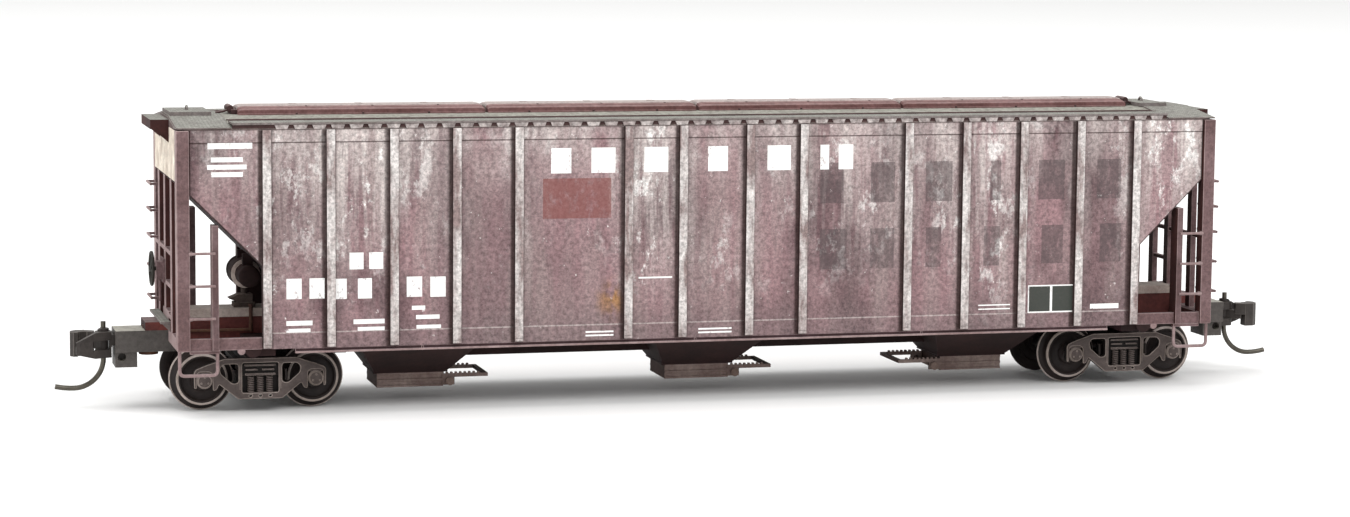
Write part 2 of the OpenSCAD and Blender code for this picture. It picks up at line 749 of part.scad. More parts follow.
// Trip pin: straight through the head, then a quarter turn forward and a gentle rise to its tip
module trip_pin() {
    bend = 2.85;
    rise = 8;
    rise_a = 13;
    low_z = 1.85;
    color(black) {
        rod_z(pin_x, 0, low_z + bend, 8.3, trip_r);
        translate([pin_x + bend, 0, low_z + bend]) rotate([90, 0, 0]) rotate([0, 0, 180])
            rotate_extrude(angle = 90) translate([bend, 0]) circle(r = trip_r, $fn = 24);
        translate([pin_x + bend, 0, low_z + rise]) rotate([90, 0, 0]) rotate([0, 0, 270])
            rotate_extrude(angle = rise_a, $fn = 200) translate([rise, 0]) circle(r = trip_r, $fn = 24);
    }
}

// Draft spring: a helix along the shank's slot, swept as a closed tube
function helix_point(t, turns, r, length) = [t * length, r * cos(360 * turns * t), r * sin(360 * turns * t)];
module draft_spring() {
    turns = 5;
    steps = 60;
    sides = 6;
    wire = 0.08;
    r = 0.36;
    x0 = pivot_x + post_r + run_gap + 0.05;
    length = 1.3;
    ring = [for (i = [0:steps], k = [0:sides - 1])
        let (p = helix_point(i / steps, turns, r, length - 2 * wire), a = 360 * turns * i / steps, b = 360 * k / sides)
        [p[0] + wire * cos(b), p[1] + wire * sin(b) * cos(a), p[2] + wire * sin(b) * sin(a)]];
    walls = [for (i = [0:steps - 1], k = [0:sides - 1])
        [i * sides + k, (i + 1) * sides + k, (i + 1) * sides + (k + 1) % sides, i * sides + (k + 1) % sides]];
    caps = [[for (k = [0:sides - 1]) k], [for (k = [sides - 1:-1:0]) steps * sides + k]];
    color(steel) translate([x0 + wire, 0, shank_mid]) polyhedron(points = ring, faces = concat(walls, caps));
}

body_shell();
roof();
for (i = [0:3]) hatch_cover(i);
mirror([0, 1, 0]) running_board();  // running_board_near
running_board();  // running_board_far
mirror([1, 0, 0]) end_walk(half_len - 4.15, half_len - 0.2);  // end_walk_a
end_walk(half_len - 5.6, half_len - 2.6);  // end_walk_b
underframe();
ballast_weight();
for (i = [0:2]) hopper_bay(i);
for (i = [0:2]) outlet_gate(i);
gate_shafts();
mirror([1, 0, 0]) end_cage([-4.85, 0.6, 5.6], [[15.2, -4.85, 8.6], [12, -4.85, 0.6], [9, -4.85, 0.6]]);  // end_cage_a
end_cage([-5.3, 0.6, 4.5], [[15.2, -8.6, 4.5], [12, 0.6, 4.5], [9, 0.6, 4.5]]);  // end_cage_b
mirror([1, 0, 0]) mirror([0, 1, 0]) ladder(false);  // ladder_a_near
mirror([1, 0, 0]) ladder(true);  // ladder_a_far
mirror([0, 1, 0]) ladder(true);  // ladder_b_near
ladder(false);  // ladder_b_far
brake_wheel();
brake_housing();
brake_step();
air_reservoir();
control_valve();
brake_pipes();
for (t = [["a", -1], ["b", 1]]) {
    truck_frame(t[1]);
    truck_pin(t[1]);
    for (e = [[1, -1], [2, 1]]) {
        axle(t[1], e[1]);
        wheels(t[1], e[1]);
    }
    a = t[0] == "a";
    coupler_end(a) coupler_box();
    coupler_end(a) box_lid();
    coupler_end(a) shank_top();
    coupler_end(a) shank_bottom();
    coupler_end(a) knuckle();
    coupler_end(a) trip_pin();
    coupler_end(a) draft_spring();
}
for (a = [true, false]) coupler_end(a) box_screw();  // box_screws
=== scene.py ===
import math
import bmesh
import bpy
import numpy as np
from mathutils import Matrix, Vector


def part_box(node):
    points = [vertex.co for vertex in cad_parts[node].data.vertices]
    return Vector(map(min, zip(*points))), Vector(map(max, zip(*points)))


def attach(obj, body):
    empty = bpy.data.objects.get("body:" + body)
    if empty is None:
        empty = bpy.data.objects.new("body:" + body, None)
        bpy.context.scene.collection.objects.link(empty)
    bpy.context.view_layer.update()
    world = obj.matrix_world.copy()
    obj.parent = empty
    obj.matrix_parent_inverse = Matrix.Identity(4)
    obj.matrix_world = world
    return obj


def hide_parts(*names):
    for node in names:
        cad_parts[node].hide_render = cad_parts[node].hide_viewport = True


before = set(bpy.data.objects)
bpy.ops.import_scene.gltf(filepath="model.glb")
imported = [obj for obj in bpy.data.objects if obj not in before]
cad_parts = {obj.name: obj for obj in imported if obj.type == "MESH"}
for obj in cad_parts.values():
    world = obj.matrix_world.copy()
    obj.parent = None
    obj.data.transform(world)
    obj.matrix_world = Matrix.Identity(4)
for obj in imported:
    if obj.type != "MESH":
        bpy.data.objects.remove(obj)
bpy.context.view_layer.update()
mm = 0.001
scene = bpy.context.scene
scene.view_settings.view_transform = "Standard"     # the paints' hex colours are meant to be seen as they are
print("frame loaded:", len(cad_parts), "nodes")

# The camera stands in front of the near side, a little left of the middle and slightly above
cameraSetup = {"place": (-87.49, -318.98, 50.88), "yaw": 15.08, "pitch": -6.51, "roll": 0.497, "lens": 87.83}


def makeCamera(setup):
    # Yaw turns the view line from +Y towards +X, pitch tips it, and roll leans the frame about it.
    yaw, pitch, roll = (math.radians(setup[key]) for key in ("yaw", "pitch", "roll"))
    forward = Vector((math.sin(yaw) * math.cos(pitch), math.cos(yaw) * math.cos(pitch), math.sin(pitch)))
    level = Vector((math.cos(yaw), -math.sin(yaw), 0))
    upright = level.cross(forward)
    right = level * math.cos(roll) + upright * math.sin(roll)
    up = upright * math.cos(roll) - level * math.sin(roll)
    data = bpy.data.cameras.new("camera")
    data.lens = setup["lens"]
    data.sensor_width = 36
    data.clip_start = 0.01
    data.clip_end = 20
    camera = bpy.data.objects.new("camera", data)
    scene.collection.objects.link(camera)
    facing = Matrix((right, up, -forward)).transposed().to_4x4()
    camera.matrix_world = Matrix.Translation(Vector(setup["place"]) * mm) @ facing
    scene.camera = camera


lightSetup = {
    "keyLight": {"place": (0.35, -0.8, 0.8), "aim": (0, 0, 0.012), "size": 0.6, "watts": 5.0},
    "topLight": {"place": (-0.15, 0.15, 0.9), "aim": (0, 0, 0.02), "size": 0.8, "watts": 4.5},
    "endLight": {"place": (-1.1, -0.25, 0.35), "aim": (-0.05, 0, 0.015), "size": 0.5, "watts": 2.4},
}
skyLight = 0.84


def makeLights(setup):
    # Three soft round lamps, each turned to its aim, in an even white surround.
    for name, light in setup.items():
        data = bpy.data.lights.new(name, "AREA")
        data.shape = "DISK"
        data.size = light["size"]
        data.energy = light["watts"]
        lamp = bpy.data.objects.new(name, data)
        scene.collection.objects.link(lamp)
        lamp.location = light["place"]
        lamp.rotation_mode = "QUATERNION"
        lamp.rotation_quaternion = (Vector(light["aim"]) - lamp.location).to_track_quat("-Z", "Y")
    world = bpy.data.worlds.new("studioWorld")
    world.use_nodes = True
    world.node_tree.nodes["Background"].inputs["Color"].default_value = (1, 1, 1, 1)
    world.node_tree.nodes["Background"].inputs["Strength"].default_value = skyLight
    scene.world = world


def linear(code):
    # sRGB hex to linear: each channel c becomes ((c + 0.055) / 1.055) ^ 2.4, or c / 12.92 near black.
    channels = [int(code[i:i + 2], 16) / 255 for i in (1, 3, 5)]
    return tuple(c / 12.92 if c < 0.04045 else ((c + 0.055) / 1.055) ** 2.4 for c in channels) + (1.0,)


def addNode(tree, kind, inputs=None, **settings):
    node = tree.nodes.new(kind)
    for key, value in settings.items():
        setattr(node, key, value)
    for key, value in (inputs or {}).items():
        if isinstance(value, bpy.types.NodeSocket):
            tree.links.new(value, node.inputs[key])
        else:
            node.inputs[key].default_value = value
    return node


def newMaterial(name, roughness, metallic=0.0, ior=1.5, specular=0.5):
    material = bpy.data.materials.new(name)
    material.use_nodes = True
    tree = material.node_tree
    shader = tree.nodes["Principled BSDF"]
    shader.inputs["Roughness"].default_value = roughness
    shader.inputs["Metallic"].default_value = metallic
    shader.inputs["IOR"].default_value = ior
    shader.inputs["Specular IOR Level"].default_value = specular
    return material, tree, shader


def noiseOn(tree, stretch, detail=3.0, roughness=0.5, shift=(0, 0, 0)):
    # Noise on object coordinates: stretch is features per millimetre along X, Y and Z.
    coords = addNode(tree, "ShaderNodeTexCoord").outputs["Object"]
    scale = [features / mm for features in stretch]
    mapped = addNode(tree, "ShaderNodeMapping", {"Vector": coords, "Location": shift, "Scale": scale})
    return addNode(tree, "ShaderNodeTexNoise", {
        "Vector": mapped.outputs[0], "Scale": 1.0, "Detail": detail, "Roughness": roughness}).outputs[0]


def ramp(tree, value, low, high, toLow=0.0, toHigh=1.0):
    # A straight ramp from toLow at low to toHigh at high, held beyond both ends.
    return addNode(tree, "ShaderNodeMapRange", {
        0: value, 1: low, 2: high, 3: toLow, 4: toHigh}, clamp=True).outputs[0]


def layer(tree, stretch, detail, roughness, shift, *span):
    # One noise pattern, brought in by a ramp over part of its range.
    return ramp(tree, noiseOn(tree, stretch, detail, roughness, shift), *span)


def maths(tree, operation, *values):
    return addNode(tree, "ShaderNodeMath", dict(enumerate(values)), operation=operation).outputs[0]


def times(tree, *values):
    # The product of two or more values.
    total = values[0]
    for value in values[1:]:
        total = maths(tree, "MULTIPLY", total, value)
    return total


def blend(tree, amount, first, second):
    return addNode(tree, "ShaderNodeMix", {0: amount, 6: first, 7: second}, data_type="RGBA").outputs[2]


def scaled(tree, colour, factor):
    return addNode(tree, "ShaderNodeVectorMath", {0: colour, 3: factor}, operation="SCALE").outputs[0]


def axisOf(tree, output, axis):
    # One axis of the object coordinates in millimetres, or of the surface normal.
    coords = addNode(tree, "ShaderNodeTexCoord").outputs[output]
    value = addNode(tree, "ShaderNodeSeparateXYZ", {0: coords}).outputs[axis]
    return times(tree, value, 1 / mm) if output == "Object" else value


def lineAt(tree, value, place, half, soft):
    # 1 within half a width of a place, falling to 0 over soft on both sides.
    away = maths(tree, "ABSOLUTE", maths(tree, "SUBTRACT", value, place))
    return ramp(tree, away, half, half + soft, 1, 0)


# line is the dark of the painted shade at the seam, by the ribs and along the end triangle; pale also gives the painted
# highlight on the foot band
sideTones = {
    "mauve": "#7a6466", "rose": "#98797c", "gray": "#9a8987", "pale": "#d3c9c5", "chalk": "#f1edea",
    "blotch": "#5d484b", "rib": "#d3cdca", "ribStain": "#8d7b79", "line": "#32201e", "low": "#7a696a", "rust": "#a37a55",
}
# Noise layers of the side paint: features per millimetre along X, Y and Z, detail, roughness, shift, then the noise
# values where the layer starts and is full, and its strength at each
sideLayers = {
    "broad": ((0.13, 0.13, 0.06), 3, 0.5, (0, 0, 0), 0.36, 0.64, 0, 1),
    "grayed": ((0.4, 0.4, 0.05), 4, 0.6, (7, 0, 3), 0.45, 0.7, 0, 0.8),
    "blotch": ((0.16, 0.16, 0.1), 3, 0.5, (11, 2, 6), 0.52, 0.66, 0, 0.75),
    "zone": ((0.085, 0.085, 0.035), 2, 0.5, (2.3, 0, 1.1), 0.4, 0.6, 0, 1),
    "streak": ((1.1, 1.1, 0.08), 5, 0.62, (0, 0, 9), 0.42, 0.64, 0, 1),
    "halo": ((0.5, 0.5, 0.13), 4, 0.65, (5, 1, 2), 0.4, 0.6, 0, 1),
    "faded": ((0.32, 0.32, 0.12), 4, 0.6, (9, 3, 4), 0.36, 0.6, 0, 1),
    "patch": ((0.5, 0.5, 0.28), 8, 0.75, (4, 0, 5), 0.548, 0.61, 0, 1),
    "fleck": ((1.3, 1.3, 1.1), 4, 0.8, (1, 8, 3), 0.66, 0.7, 0, 0.8),
    "rust": ((1.2, 1.2, 0.6), 4, 0.5, (0, 0, 0), 0.4, 0.6, 0, 1.3),
    "stained": ((0.6, 0.6, 0.14), 5, 0.65, (1, 5, 0), 0.43, 0.6, 0, 1),
    "grain": ((2.4, 2.4, 2.4), 3, 0.8, (0, 0, 0), 0.36, 0.64, 0.58, 1.2),
}
# Places on the side in millimetres: the pressed seam, the foot band's edge, the post's edge and the diagonal edge,
# where height less distance from mid-length is constant
sidePlaces = {"seam": 26.16, "footHighlight": 8.0, "postEdge": 51.42, "diagonal": -30.12,
              "rust": (-10.2, -9.6, 10.4), "rustSize": (2.2, 2.2, 2.6)}
ribPlaces = (3.4, 8.9, 19.8, 25.89, 31.99, 38.08, 44.175)     # rib centres from mid-length, the same both ways
ribSpan = 50


def nearRibs(tree, half, soft, lean=0.0):
    # A colour ramp along the distance from mid-length: 1 within half a width of each rib, 0 beyond soft.
    # The lean moves the band to the left of each rib as the side is looked at.
    leftward = times(tree, maths(tree, "SIGN", axisOf(tree, "Object", 1)), -lean)
    along = maths(tree, "ABSOLUTE", maths(tree, "ADD", axisOf(tree, "Object", 0), leftward))
    node = addNode(tree, "ShaderNodeValToRGB", {0: times(tree, along, 1 / ribSpan)})
    stops = node.color_ramp.elements
    stops[0].color = stops[1].color = (0, 0, 0, 1)
    for place in ribPlaces:
        for offset, value in ((-half - soft, 0), (-half, 1), (half, 1), (half + soft, 0)):
            stops.new((place + offset) / ribSpan).color = (value, value, value, 1)
    return node.outputs[0]


def rustSpot(tree):
    # 1 at the middle of a ball round the rusted place, falling to 0 at its skin.
    coords = addNode(tree, "ShaderNodeTexCoord").outputs["Object"]
    shift = [-place / size for place, size in zip(sidePlaces["rust"], sidePlaces["rustSize"])]
    scale = [1 / (size * mm) for size in sidePlaces["rustSize"]]
    centred = addNode(tree, "ShaderNodeMapping", {"Vector": coords, "Location": shift, "Scale": scale})
    ball = addNode(tree, "ShaderNodeTexGradient", {"Vector": centred.outputs[0]}, gradient_type="SPHERICAL")
    return ball.outputs[1]


def sideColour(tree):
    # Weathered house paint: a mauve coat, grayed in tall streaks, chalked in patches, and paler by the ribs and roof.
    # Each step lays one tone over the colour so far.
    tones = {name: linear(code) for name, code in sideTones.items()}
    layers = {name: layer(tree, *row) for name, row in sideLayers.items()}
    along, across, height = (axisOf(tree, "Object", axis) for axis in range(3))
    fromMiddle, reach = maths(tree, "ABSOLUTE", along), maths(tree, "ABSOLUTE", across)
    colour = blend(tree, layers["broad"], tones["mauve"], tones["rose"])
    colour = blend(tree, layers["grayed"], colour, tones["gray"])
    colour = blend(tree, layers["blotch"], colour, tones["blotch"])
    # Streaks and chalk fade downwards, and the brake end is cleaner
    clean = ramp(tree, along, -47.5, -43, 0.3, 1)
    zone = times(tree, layers["zone"], clean)
    downwards = ramp(tree, height, 9, 25, 0.1, 1.0)
    colour = blend(tree, times(tree, layers["streak"], zone, downwards), colour, tones["pale"])
    halo = times(tree, nearRibs(tree, 0.35, 1.3), layers["halo"], downwards)
    faded = times(tree, layers["faded"], times(tree, ramp(tree, height, 20, 27.2, 0, 0.9), clean))
    colour = blend(tree, times(tree, maths(tree, "MAXIMUM", halo, faded), 0.62), colour, tones["pale"])
    chalk = times(tree, layers["patch"], zone, ramp(tree, height, 8, 16, 0.15, 0.85))
    colour = blend(tree, chalk, colour, tones["chalk"])
    colour = blend(tree, layers["fleck"], colour, tones["chalk"])
    colour = blend(tree, times(tree, rustSpot(tree), layers["rust"]), colour, tones["rust"])
    colour = blend(tree, ramp(tree, height, 10.5, 7.2, 0, 0.55), colour, tones["low"])
    # Thin lines: painted shade under the lip at the seam, a painted highlight along the foot band's top, and painted
    # shade beside the ribs and along the edges of the end triangle
    seam = lineAt(tree, height, sidePlaces["seam"], 0.035, 0.05)
    footHighlight = lineAt(tree, height, sidePlaces["footHighlight"], 0.03, 0.06)
    # Painted shade under the lower edge of the sheet's lip, along the seam
    colour = blend(tree, times(tree, seam, 0.75), colour, tones["line"])
    # A painted highlight along the top edge of the foot band
    colour = blend(tree, times(tree, footHighlight, 0.5), colour, tones["pale"])
    ribShade = times(tree, nearRibs(tree, 0.58, 0.14, 0.16), ramp(tree, height, 27.4, 27.3, 0, 0.85))
    # Painted shade in the recess by the corner post and along the end triangle's slanted, downward-facing edge
    slant = maths(tree, "SUBTRACT", height, fromMiddle)
    edges = maths(tree, "MAXIMUM", lineAt(tree, fromMiddle, sidePlaces["postEdge"], 0.05, 0.06),
                  lineAt(tree, slant, sidePlaces["diagonal"], 0.07, 0.06))
    edges = times(tree, edges, ramp(tree, fromMiddle, 44.6, 44.7, 0, 0.85))
    colour = blend(tree, maths(tree, "MAXIMUM", ribShade, edges), colour, tones["line"])
    # The ribs' faces are pale and stained, and their flanks carry painted shade
    ribTone = blend(tree, layers["stained"], tones["rib"], tones["ribStain"])
    ribTone = blend(tree, ramp(tree, height, 10, 7.5, 0, 0.3), ribTone, tones["ribStain"])
    colour = blend(tree, ramp(tree, reach, 9.94, 10.0), colour, ribTone)
    flankShade = ramp(tree, maths(tree, "ABSOLUTE", axisOf(tree, "Normal", 0)), 0.5, 0.8, 0, 0.85)
    colour = blend(tree, times(tree, ramp(tree, reach, 9.62, 9.64), flankShade), colour, tones["line"])
    return scaled(tree, colour, layers["grain"]), layers["grain"]


def coat(tree, shader, colour, grain):
    # Links a paint's colour, and bumps it by a fiftieth of a millimetre where the grain is pale.
    bump = addNode(tree, "ShaderNodeBump", {"Strength": 0.12, "Distance": 0.02 * mm, "Height": grain})
    tree.links.new(colour, shader.inputs["Base Color"])
    tree.links.new(bump.outputs[0], shader.inputs["Normal"])


def sidePaint():
    # Acrylic house paint, airbrushed with weathering: dead matt, so the streaks show as tone and not as shine.
    material, tree, shader = newMaterial("weatheredSidePaintAndShade", 0.8, specular=0.25)
    coat(tree, shader, *sideColour(tree))
    return material


def markPaint(name, code, wearLow, wearHigh, strength):
    # Pad-printed ink over the weathered coat: where it has worn through, the coat's own colour shows.
    material, tree, shader = newMaterial(name, 0.72, specular=0.25)
    colour = sideColour(tree)[0]
    wear = layer(tree, (1.4, 1.4, 0.9), 6, 0.75, (3, 0, 8), wearLow, wearHigh, strength, 0.0)
    tree.links.new(blend(tree, wear, colour, linear(code)), shader.inputs["Base Color"])
    return material


def gratingHoles(tree):
    # Expanded-metal grating, 0.7 mm diamonds: 1 where both slanting sets of lines are open, on what faces up.
    along, across = axisOf(tree, "Object", 0), axisOf(tree, "Object", 1)
    lines = []
    for slant in (1.6, -1.6):
        slanted = maths(tree, "ADD", along, times(tree, across, slant))
        lines.append(maths(tree, "ABSOLUTE", maths(tree, "SINE", times(tree, slanted, math.pi / 0.7))))
    opening = ramp(tree, maths(tree, "MINIMUM", *lines), 0.3, 0.5)
    return times(tree, opening, ramp(tree, axisOf(tree, "Normal", 2), 0.7, 0.9))


def weatheredPaint(name, base, second, dust, dustTop=0.6, roughness=0.78, grainDepth=0.16, patchSize=0.25,
                   mesh=False, crown=None):
    # Spray paint on moulded plastic: two close tones, and dust that settles on what faces up.
    # A crown is a painted highlight: a paler strip along mid-width for light on the top, as (colour, half width).
    material, tree, shader = newMaterial(name, roughness, specular=0.25)
    broad = layer(tree, (patchSize,) * 3, 4, 0.6, (0, 0, 0), 0.38, 0.62)
    colour = blend(tree, broad, linear(base), linear(second))
    upward = ramp(tree, axisOf(tree, "Normal", 2), 0.3, 0.9, 0, dustTop)
    settled = times(tree, upward, layer(tree, (0.9, 0.9, 0.9), 5, 0.65, (0, 0, 0), 0.3, 0.6, 0.5, 1))
    colour = blend(tree, settled, colour, linear(dust))
    if crown:
        fromCentre = maths(tree, "ABSOLUTE", axisOf(tree, "Object", 1))
        colour = blend(tree, ramp(tree, fromCentre, crown[1] + 0.05, crown[1], 0, 0.9), colour, linear(crown[0]))
    if mesh:
        # The grating's openings are painted dark, as painted shade seen through them
        colour = blend(tree, times(tree, gratingHoles(tree), 0.7), colour, linear("#3a3431"))
    grain = layer(tree, (2.4, 2.4, 2.4), 3, 0.8, (0, 0, 0), 0.36, 0.64, 1 - grainDepth, 1 + grainDepth)
    coat(tree, shader, scaled(tree, colour, grain), grain)
    return material


def metal(name, code, roughness):
    # Drawn or turned wire: fine marks break up the highlight.
    material, tree, shader = newMaterial(name, roughness, metallic=1.0)
    marks = layer(tree, (2.5, 2.5, 2.5), 4, 0.6, (0, 0, 0), 0.3, 0.7, 0.8, 1.15)
    tree.links.new(scaled(tree, linear(code)[:3], marks), shader.inputs["Base Color"])
    return material


def paleFloor():
    # Matt studio paper: a plain pale ground with no shine.
    material, tree, shader = newMaterial("paleFloor", 0.85, specular=0.1)
    shader.inputs["Base Color"].default_value = linear("#f8f8f7")
    return material


paints = {
    "side": sidePaint(),
    "post": weatheredPaint("weatheredPostPaint", "#745d5e", "#604a4a", "#8f7d7c", 0.5, grainDepth=0.25),
    # postEdge is a pale paint for edges, partly rubbed wear and partly painted highlight, and painted light on outward
    # faces of cages and ladders
    "postEdge": weatheredPaint("rubbedPostEdgeAndHighlight", "#9a8685", "#86706f", "#b0a09e", 0.3),
    "rung": weatheredPaint("weatheredRungPaint", "#6f5b5c", "#564242", "#a29190", 0.7),
    "endPanel": weatheredPaint("palerEndPaint", "#e2d8c9", "#bdaea0", "#c9c0b6", 0.3, grainDepth=0.25, patchSize=0.6),
    "roof": weatheredPaint("grayGreenRoofPaint", "#6b5d5b", "#5b4c4a", "#94948a", 0.92, grainDepth=0.28),
    "grating": weatheredPaint("gratedBoardPaint", "#7d7573", "#6a615e", "#a5a69d", 0.85, grainDepth=0.25, mesh=True),
    "bracket": weatheredPaint("dustyBracketPaint", "#b3aba8", "#867b79", "#cfccc4", 0.6,
                              grainDepth=0.35, patchSize=0.9),
    # the hatch crown is a painted highlight along the covers' tops
    "hatch": weatheredPaint("redBrownHatchPaint", "#785655", "#664543", "#8f7a77", 0.55,
                            grainDepth=0.2, patchSize=0.2, crown=("#a89d99", 1.36)),
    "hatchTrim": weatheredPaint("darkHatchTrimPaint", "#4a3433", "#3c2a29", "#8c7b78", 0.6),
    # under is the underframe's dark brown, made darker still as painted shade
    "under": weatheredPaint("darkUnderPaintAndShade", "#1f1110", "#2a1817", "#4b3735", 0.5),
    "sill": weatheredPaint("plumSillPaint", "#3b272b", "#2c1b1c", "#8c7b79", 0.85),
    "gate": weatheredPaint("dustyGatePaint", "#8a7a74", "#705e59", "#9a8b83", 0.8),
    # the darker gate paint is painted shade on the gates' faces other than their sides
    "gateDark": weatheredPaint("gatePaintInShade", "#4e3b36", "#3b2b27", "#857468", 0.7),
    # the maroon cage paint is painted shade on faces turned to the middle of the car and under the end shelves
    "cageRed": weatheredPaint("maroonCageShade", "#43221f", "#311816", "#6e5350", 0.5),
    # the red-brown inner paint is partly the sill's own colour and partly a painted glow of light through the plastic
    "innerRed": weatheredPaint("redBrownInnerPaintAndGlow", "#6a3733", "#4b2725", "#86706b", 0.6),
    # the chalked cover paint also gives the painted highlight on the air reservoir's step
    "paleSill": weatheredPaint("chalkedCoverAndHighlightPaint", "#c4b6ae", "#a09088", "#d0c6bd", 0.6),
    "couplerBox": weatheredPaint("dustyBoxPlastic", "#504b48", "#474340", "#aaa79b", 0.95, roughness=0.55),
    "valve": weatheredPaint("grayBrownValvePaint", "#544842", "#3d332f", "#82766d", 0.7),
    "pipe": weatheredPaint("rustedPipePaint", "#5f4030", "#47302a", "#857060", 0.5),
    # the gate edge paint is the shafts' own colour and a painted highlight along the gates' edges
    "gateEdge": weatheredPaint("gateShaftPaintAndEdgeHighlight", "#83726a", "#6a5850", "#9a8b83", 0.5),
    "truck": weatheredPaint("grayBrownTruckPlastic", "#524845", "#433a37", "#7d736e", 0.7, roughness=0.6),
    # the truck edge paint is rubbed wear and a painted highlight along the trucks' edges
    "truckEdge": weatheredPaint("rubbedTruckEdgeAndHighlight", "#938781", "#72675f", "#958b85", 0.4, roughness=0.6),
    "wheel": weatheredPaint("darkWheelPlastic", "#2a211f", "#1f1817", "#4a413d", 0.3, roughness=0.55),
    # the wheel rim paint is wear and a painted highlight on the tread's front corner and the flange edge
    "wheelRim": weatheredPaint("wornWheelRimAndHighlight", "#b3a7a1", "#94877f", "#b3a7a1", 0.3, roughness=0.5),
    "truckDark": weatheredPaint("shadedTruckPlastic", "#1c1716", "#151110", "#3a3330", 0.4, roughness=0.7),
    "coupler": weatheredPaint("darkCouplerPlastic", "#3b3633", "#302b29", "#5f5955", 0.5, roughness=0.55),
    # the coupler edge paint is rubbed wear and a painted highlight along the couplers' edges
    "couplerEdge": weatheredPaint("rubbedCouplerEdgeAndHighlight", "#5f5955", "#4a4542", "#7a746f", 0.4, roughness=0.5),
    "brake": weatheredPaint("blackBrakePlastic", "#26241f", "#1d1b18", "#55524c", 0.4, roughness=0.6),
    "whiteMark": markPaint("wornWhiteInk", "#fafaf8", 0.58, 0.7, 0.95),
    "grayMark": markPaint("fadedGrayInk", "#4c4344", 0.5, 0.7, 0.62),
    "redMark": markPaint("fadedRedInk", "#7c4641", 0.5, 0.78, 0.72),
    "plateMark": markPaint("darkPlateInk", "#3b403b", 0.62, 0.8, 0.95),
    "tripWire": metal("blackenedSteelWire", "#57534c", 0.38),
    "copper": metal("bronzeSpringWire", "#b07a50", 0.35),
    "steel": metal("turnedSteel", "#a8a6a2", 0.3),
    "floor": paleFloor(),
}
print("materials made:", len(paints))


def finishPiece(piece, names, rider, nodes=(), bevel=0.0, segments=2, edge=None):
    # Gives a piece its paints by name and rounds its edges, which may take a paint of their own. Then it hangs the
    # piece on what it rides on and hides the nodes it stands for.
    for name in names.split():
        piece.data.materials.append(paints[name])
    if bevel:
        modifier = piece.modifiers.new("edges", "BEVEL")
        modifier.width = bevel * mm
        modifier.segments = segments
        modifier.limit_method = "ANGLE"
        modifier.angle_limit = math.radians(35)
        modifier.harden_normals = True
        if edge:
            piece.data.materials.append(paints[edge])
            modifier.material = len(piece.data.materials) - 1
    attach(piece, rider)
    if nodes:
        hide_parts(*nodes)


def shade(mesh, smoothAngle):
    # Smooth shading, kept sharp where two faces meet at more than the angle.
    mesh.polygons.foreach_set("use_smooth", [True] * len(mesh.polygons))
    mesh.set_sharp_from_angle(angle=math.radians(smoothAngle))


def pieceFrom(name, points, faces, smoothAngle=40, slots=None):
    # Points are in millimetres, an (n, 3) array; faces are lists of point numbers.
    mesh = bpy.data.meshes.new(name)
    mesh.from_pydata((np.asarray(points, float) * mm).tolist(), [], [list(map(int, face)) for face in faces])
    if slots is not None:
        mesh.polygons.foreach_set("material_index", np.asarray(slots, int))
    work = bmesh.new()
    work.from_mesh(mesh)
    bmesh.ops.remove_doubles(work, verts=work.verts, dist=0.0002 * mm)
    bmesh.ops.recalc_face_normals(work, faces=work.faces)
    work.to_mesh(mesh)
    work.free()
    piece = bpy.data.objects.new(name, mesh)
    scene.collection.objects.link(piece)
    shade(mesh, smoothAngle)
    return piece


def copyOf(nodes, name, pick=None):
    # A merged copy of CAD nodes: loose triangles are welded, and flat neighbours are joined into one face.
    work = bmesh.new()
    for node in nodes:
        work.from_mesh(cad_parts[node].data)
    bmesh.ops.remove_doubles(work, verts=work.verts, dist=0.0005 * mm)
    bmesh.ops.dissolve_degenerate(work, edges=work.edges, dist=0.0005 * mm)
    bmesh.ops.dissolve_limit(work, angle_limit=math.radians(1), verts=work.verts, edges=work.edges)
    for face in work.faces:
        face.material_index = pick(face.calc_center_median() / mm, face.normal) if pick else 0
    mesh = bpy.data.meshes.new(name)
    work.to_mesh(mesh)
    work.free()
    piece = bpy.data.objects.new(name, mesh)
    scene.collection.objects.link(piece)
    shade(mesh, 30)
    return piece


def boxes(corners):
    # Each row is low x, y, z and high x, y, z in millimetres: eight points and six faces a row.
    rows = np.asarray(corners, float).reshape(-1, 6)
    picks = np.array([[0, 1, 2], [3, 1, 2], [3, 4, 2], [0, 4, 2], [0, 1, 5], [3, 1, 5], [3, 4, 5], [0, 4, 5]])
    points = rows[:, picks].reshape(-1, 3)
    sides = np.array([[0, 3, 2, 1], [4, 5, 6, 7], [0, 1, 5, 4], [1, 2, 6, 5], [2, 3, 7, 6], [3, 0, 4, 7]])
    faces = (sides[None] + 8 * np.arange(len(rows))[:, None, None]).reshape(-1, 4)
    return points, faces


def grid(rows, columns, closeColumns=False):
    # Quads of a grid of points, row by row; closed columns join the last point of a row to its first.
    i = np.arange(rows - 1)[:, None]
    j = np.arange(columns if closeColumns else columns - 1)[None, :]
    corner = [(i, j), (i, (j + 1) % columns), (i + 1, (j + 1) % columns), (i + 1, j)]
    return np.stack([(a * columns + b + 0 * i * j).ravel() for a, b in corner], 1).tolist()


def capped(points, rows, columns):
    # A closed skin over rows of closed rings, with a flat face over the first ring and the last.
    faces = grid(rows, columns, True)
    faces.append(list(range(columns)))
    faces.append(list(range((rows - 1) * columns, rows * columns)))
    return points, faces


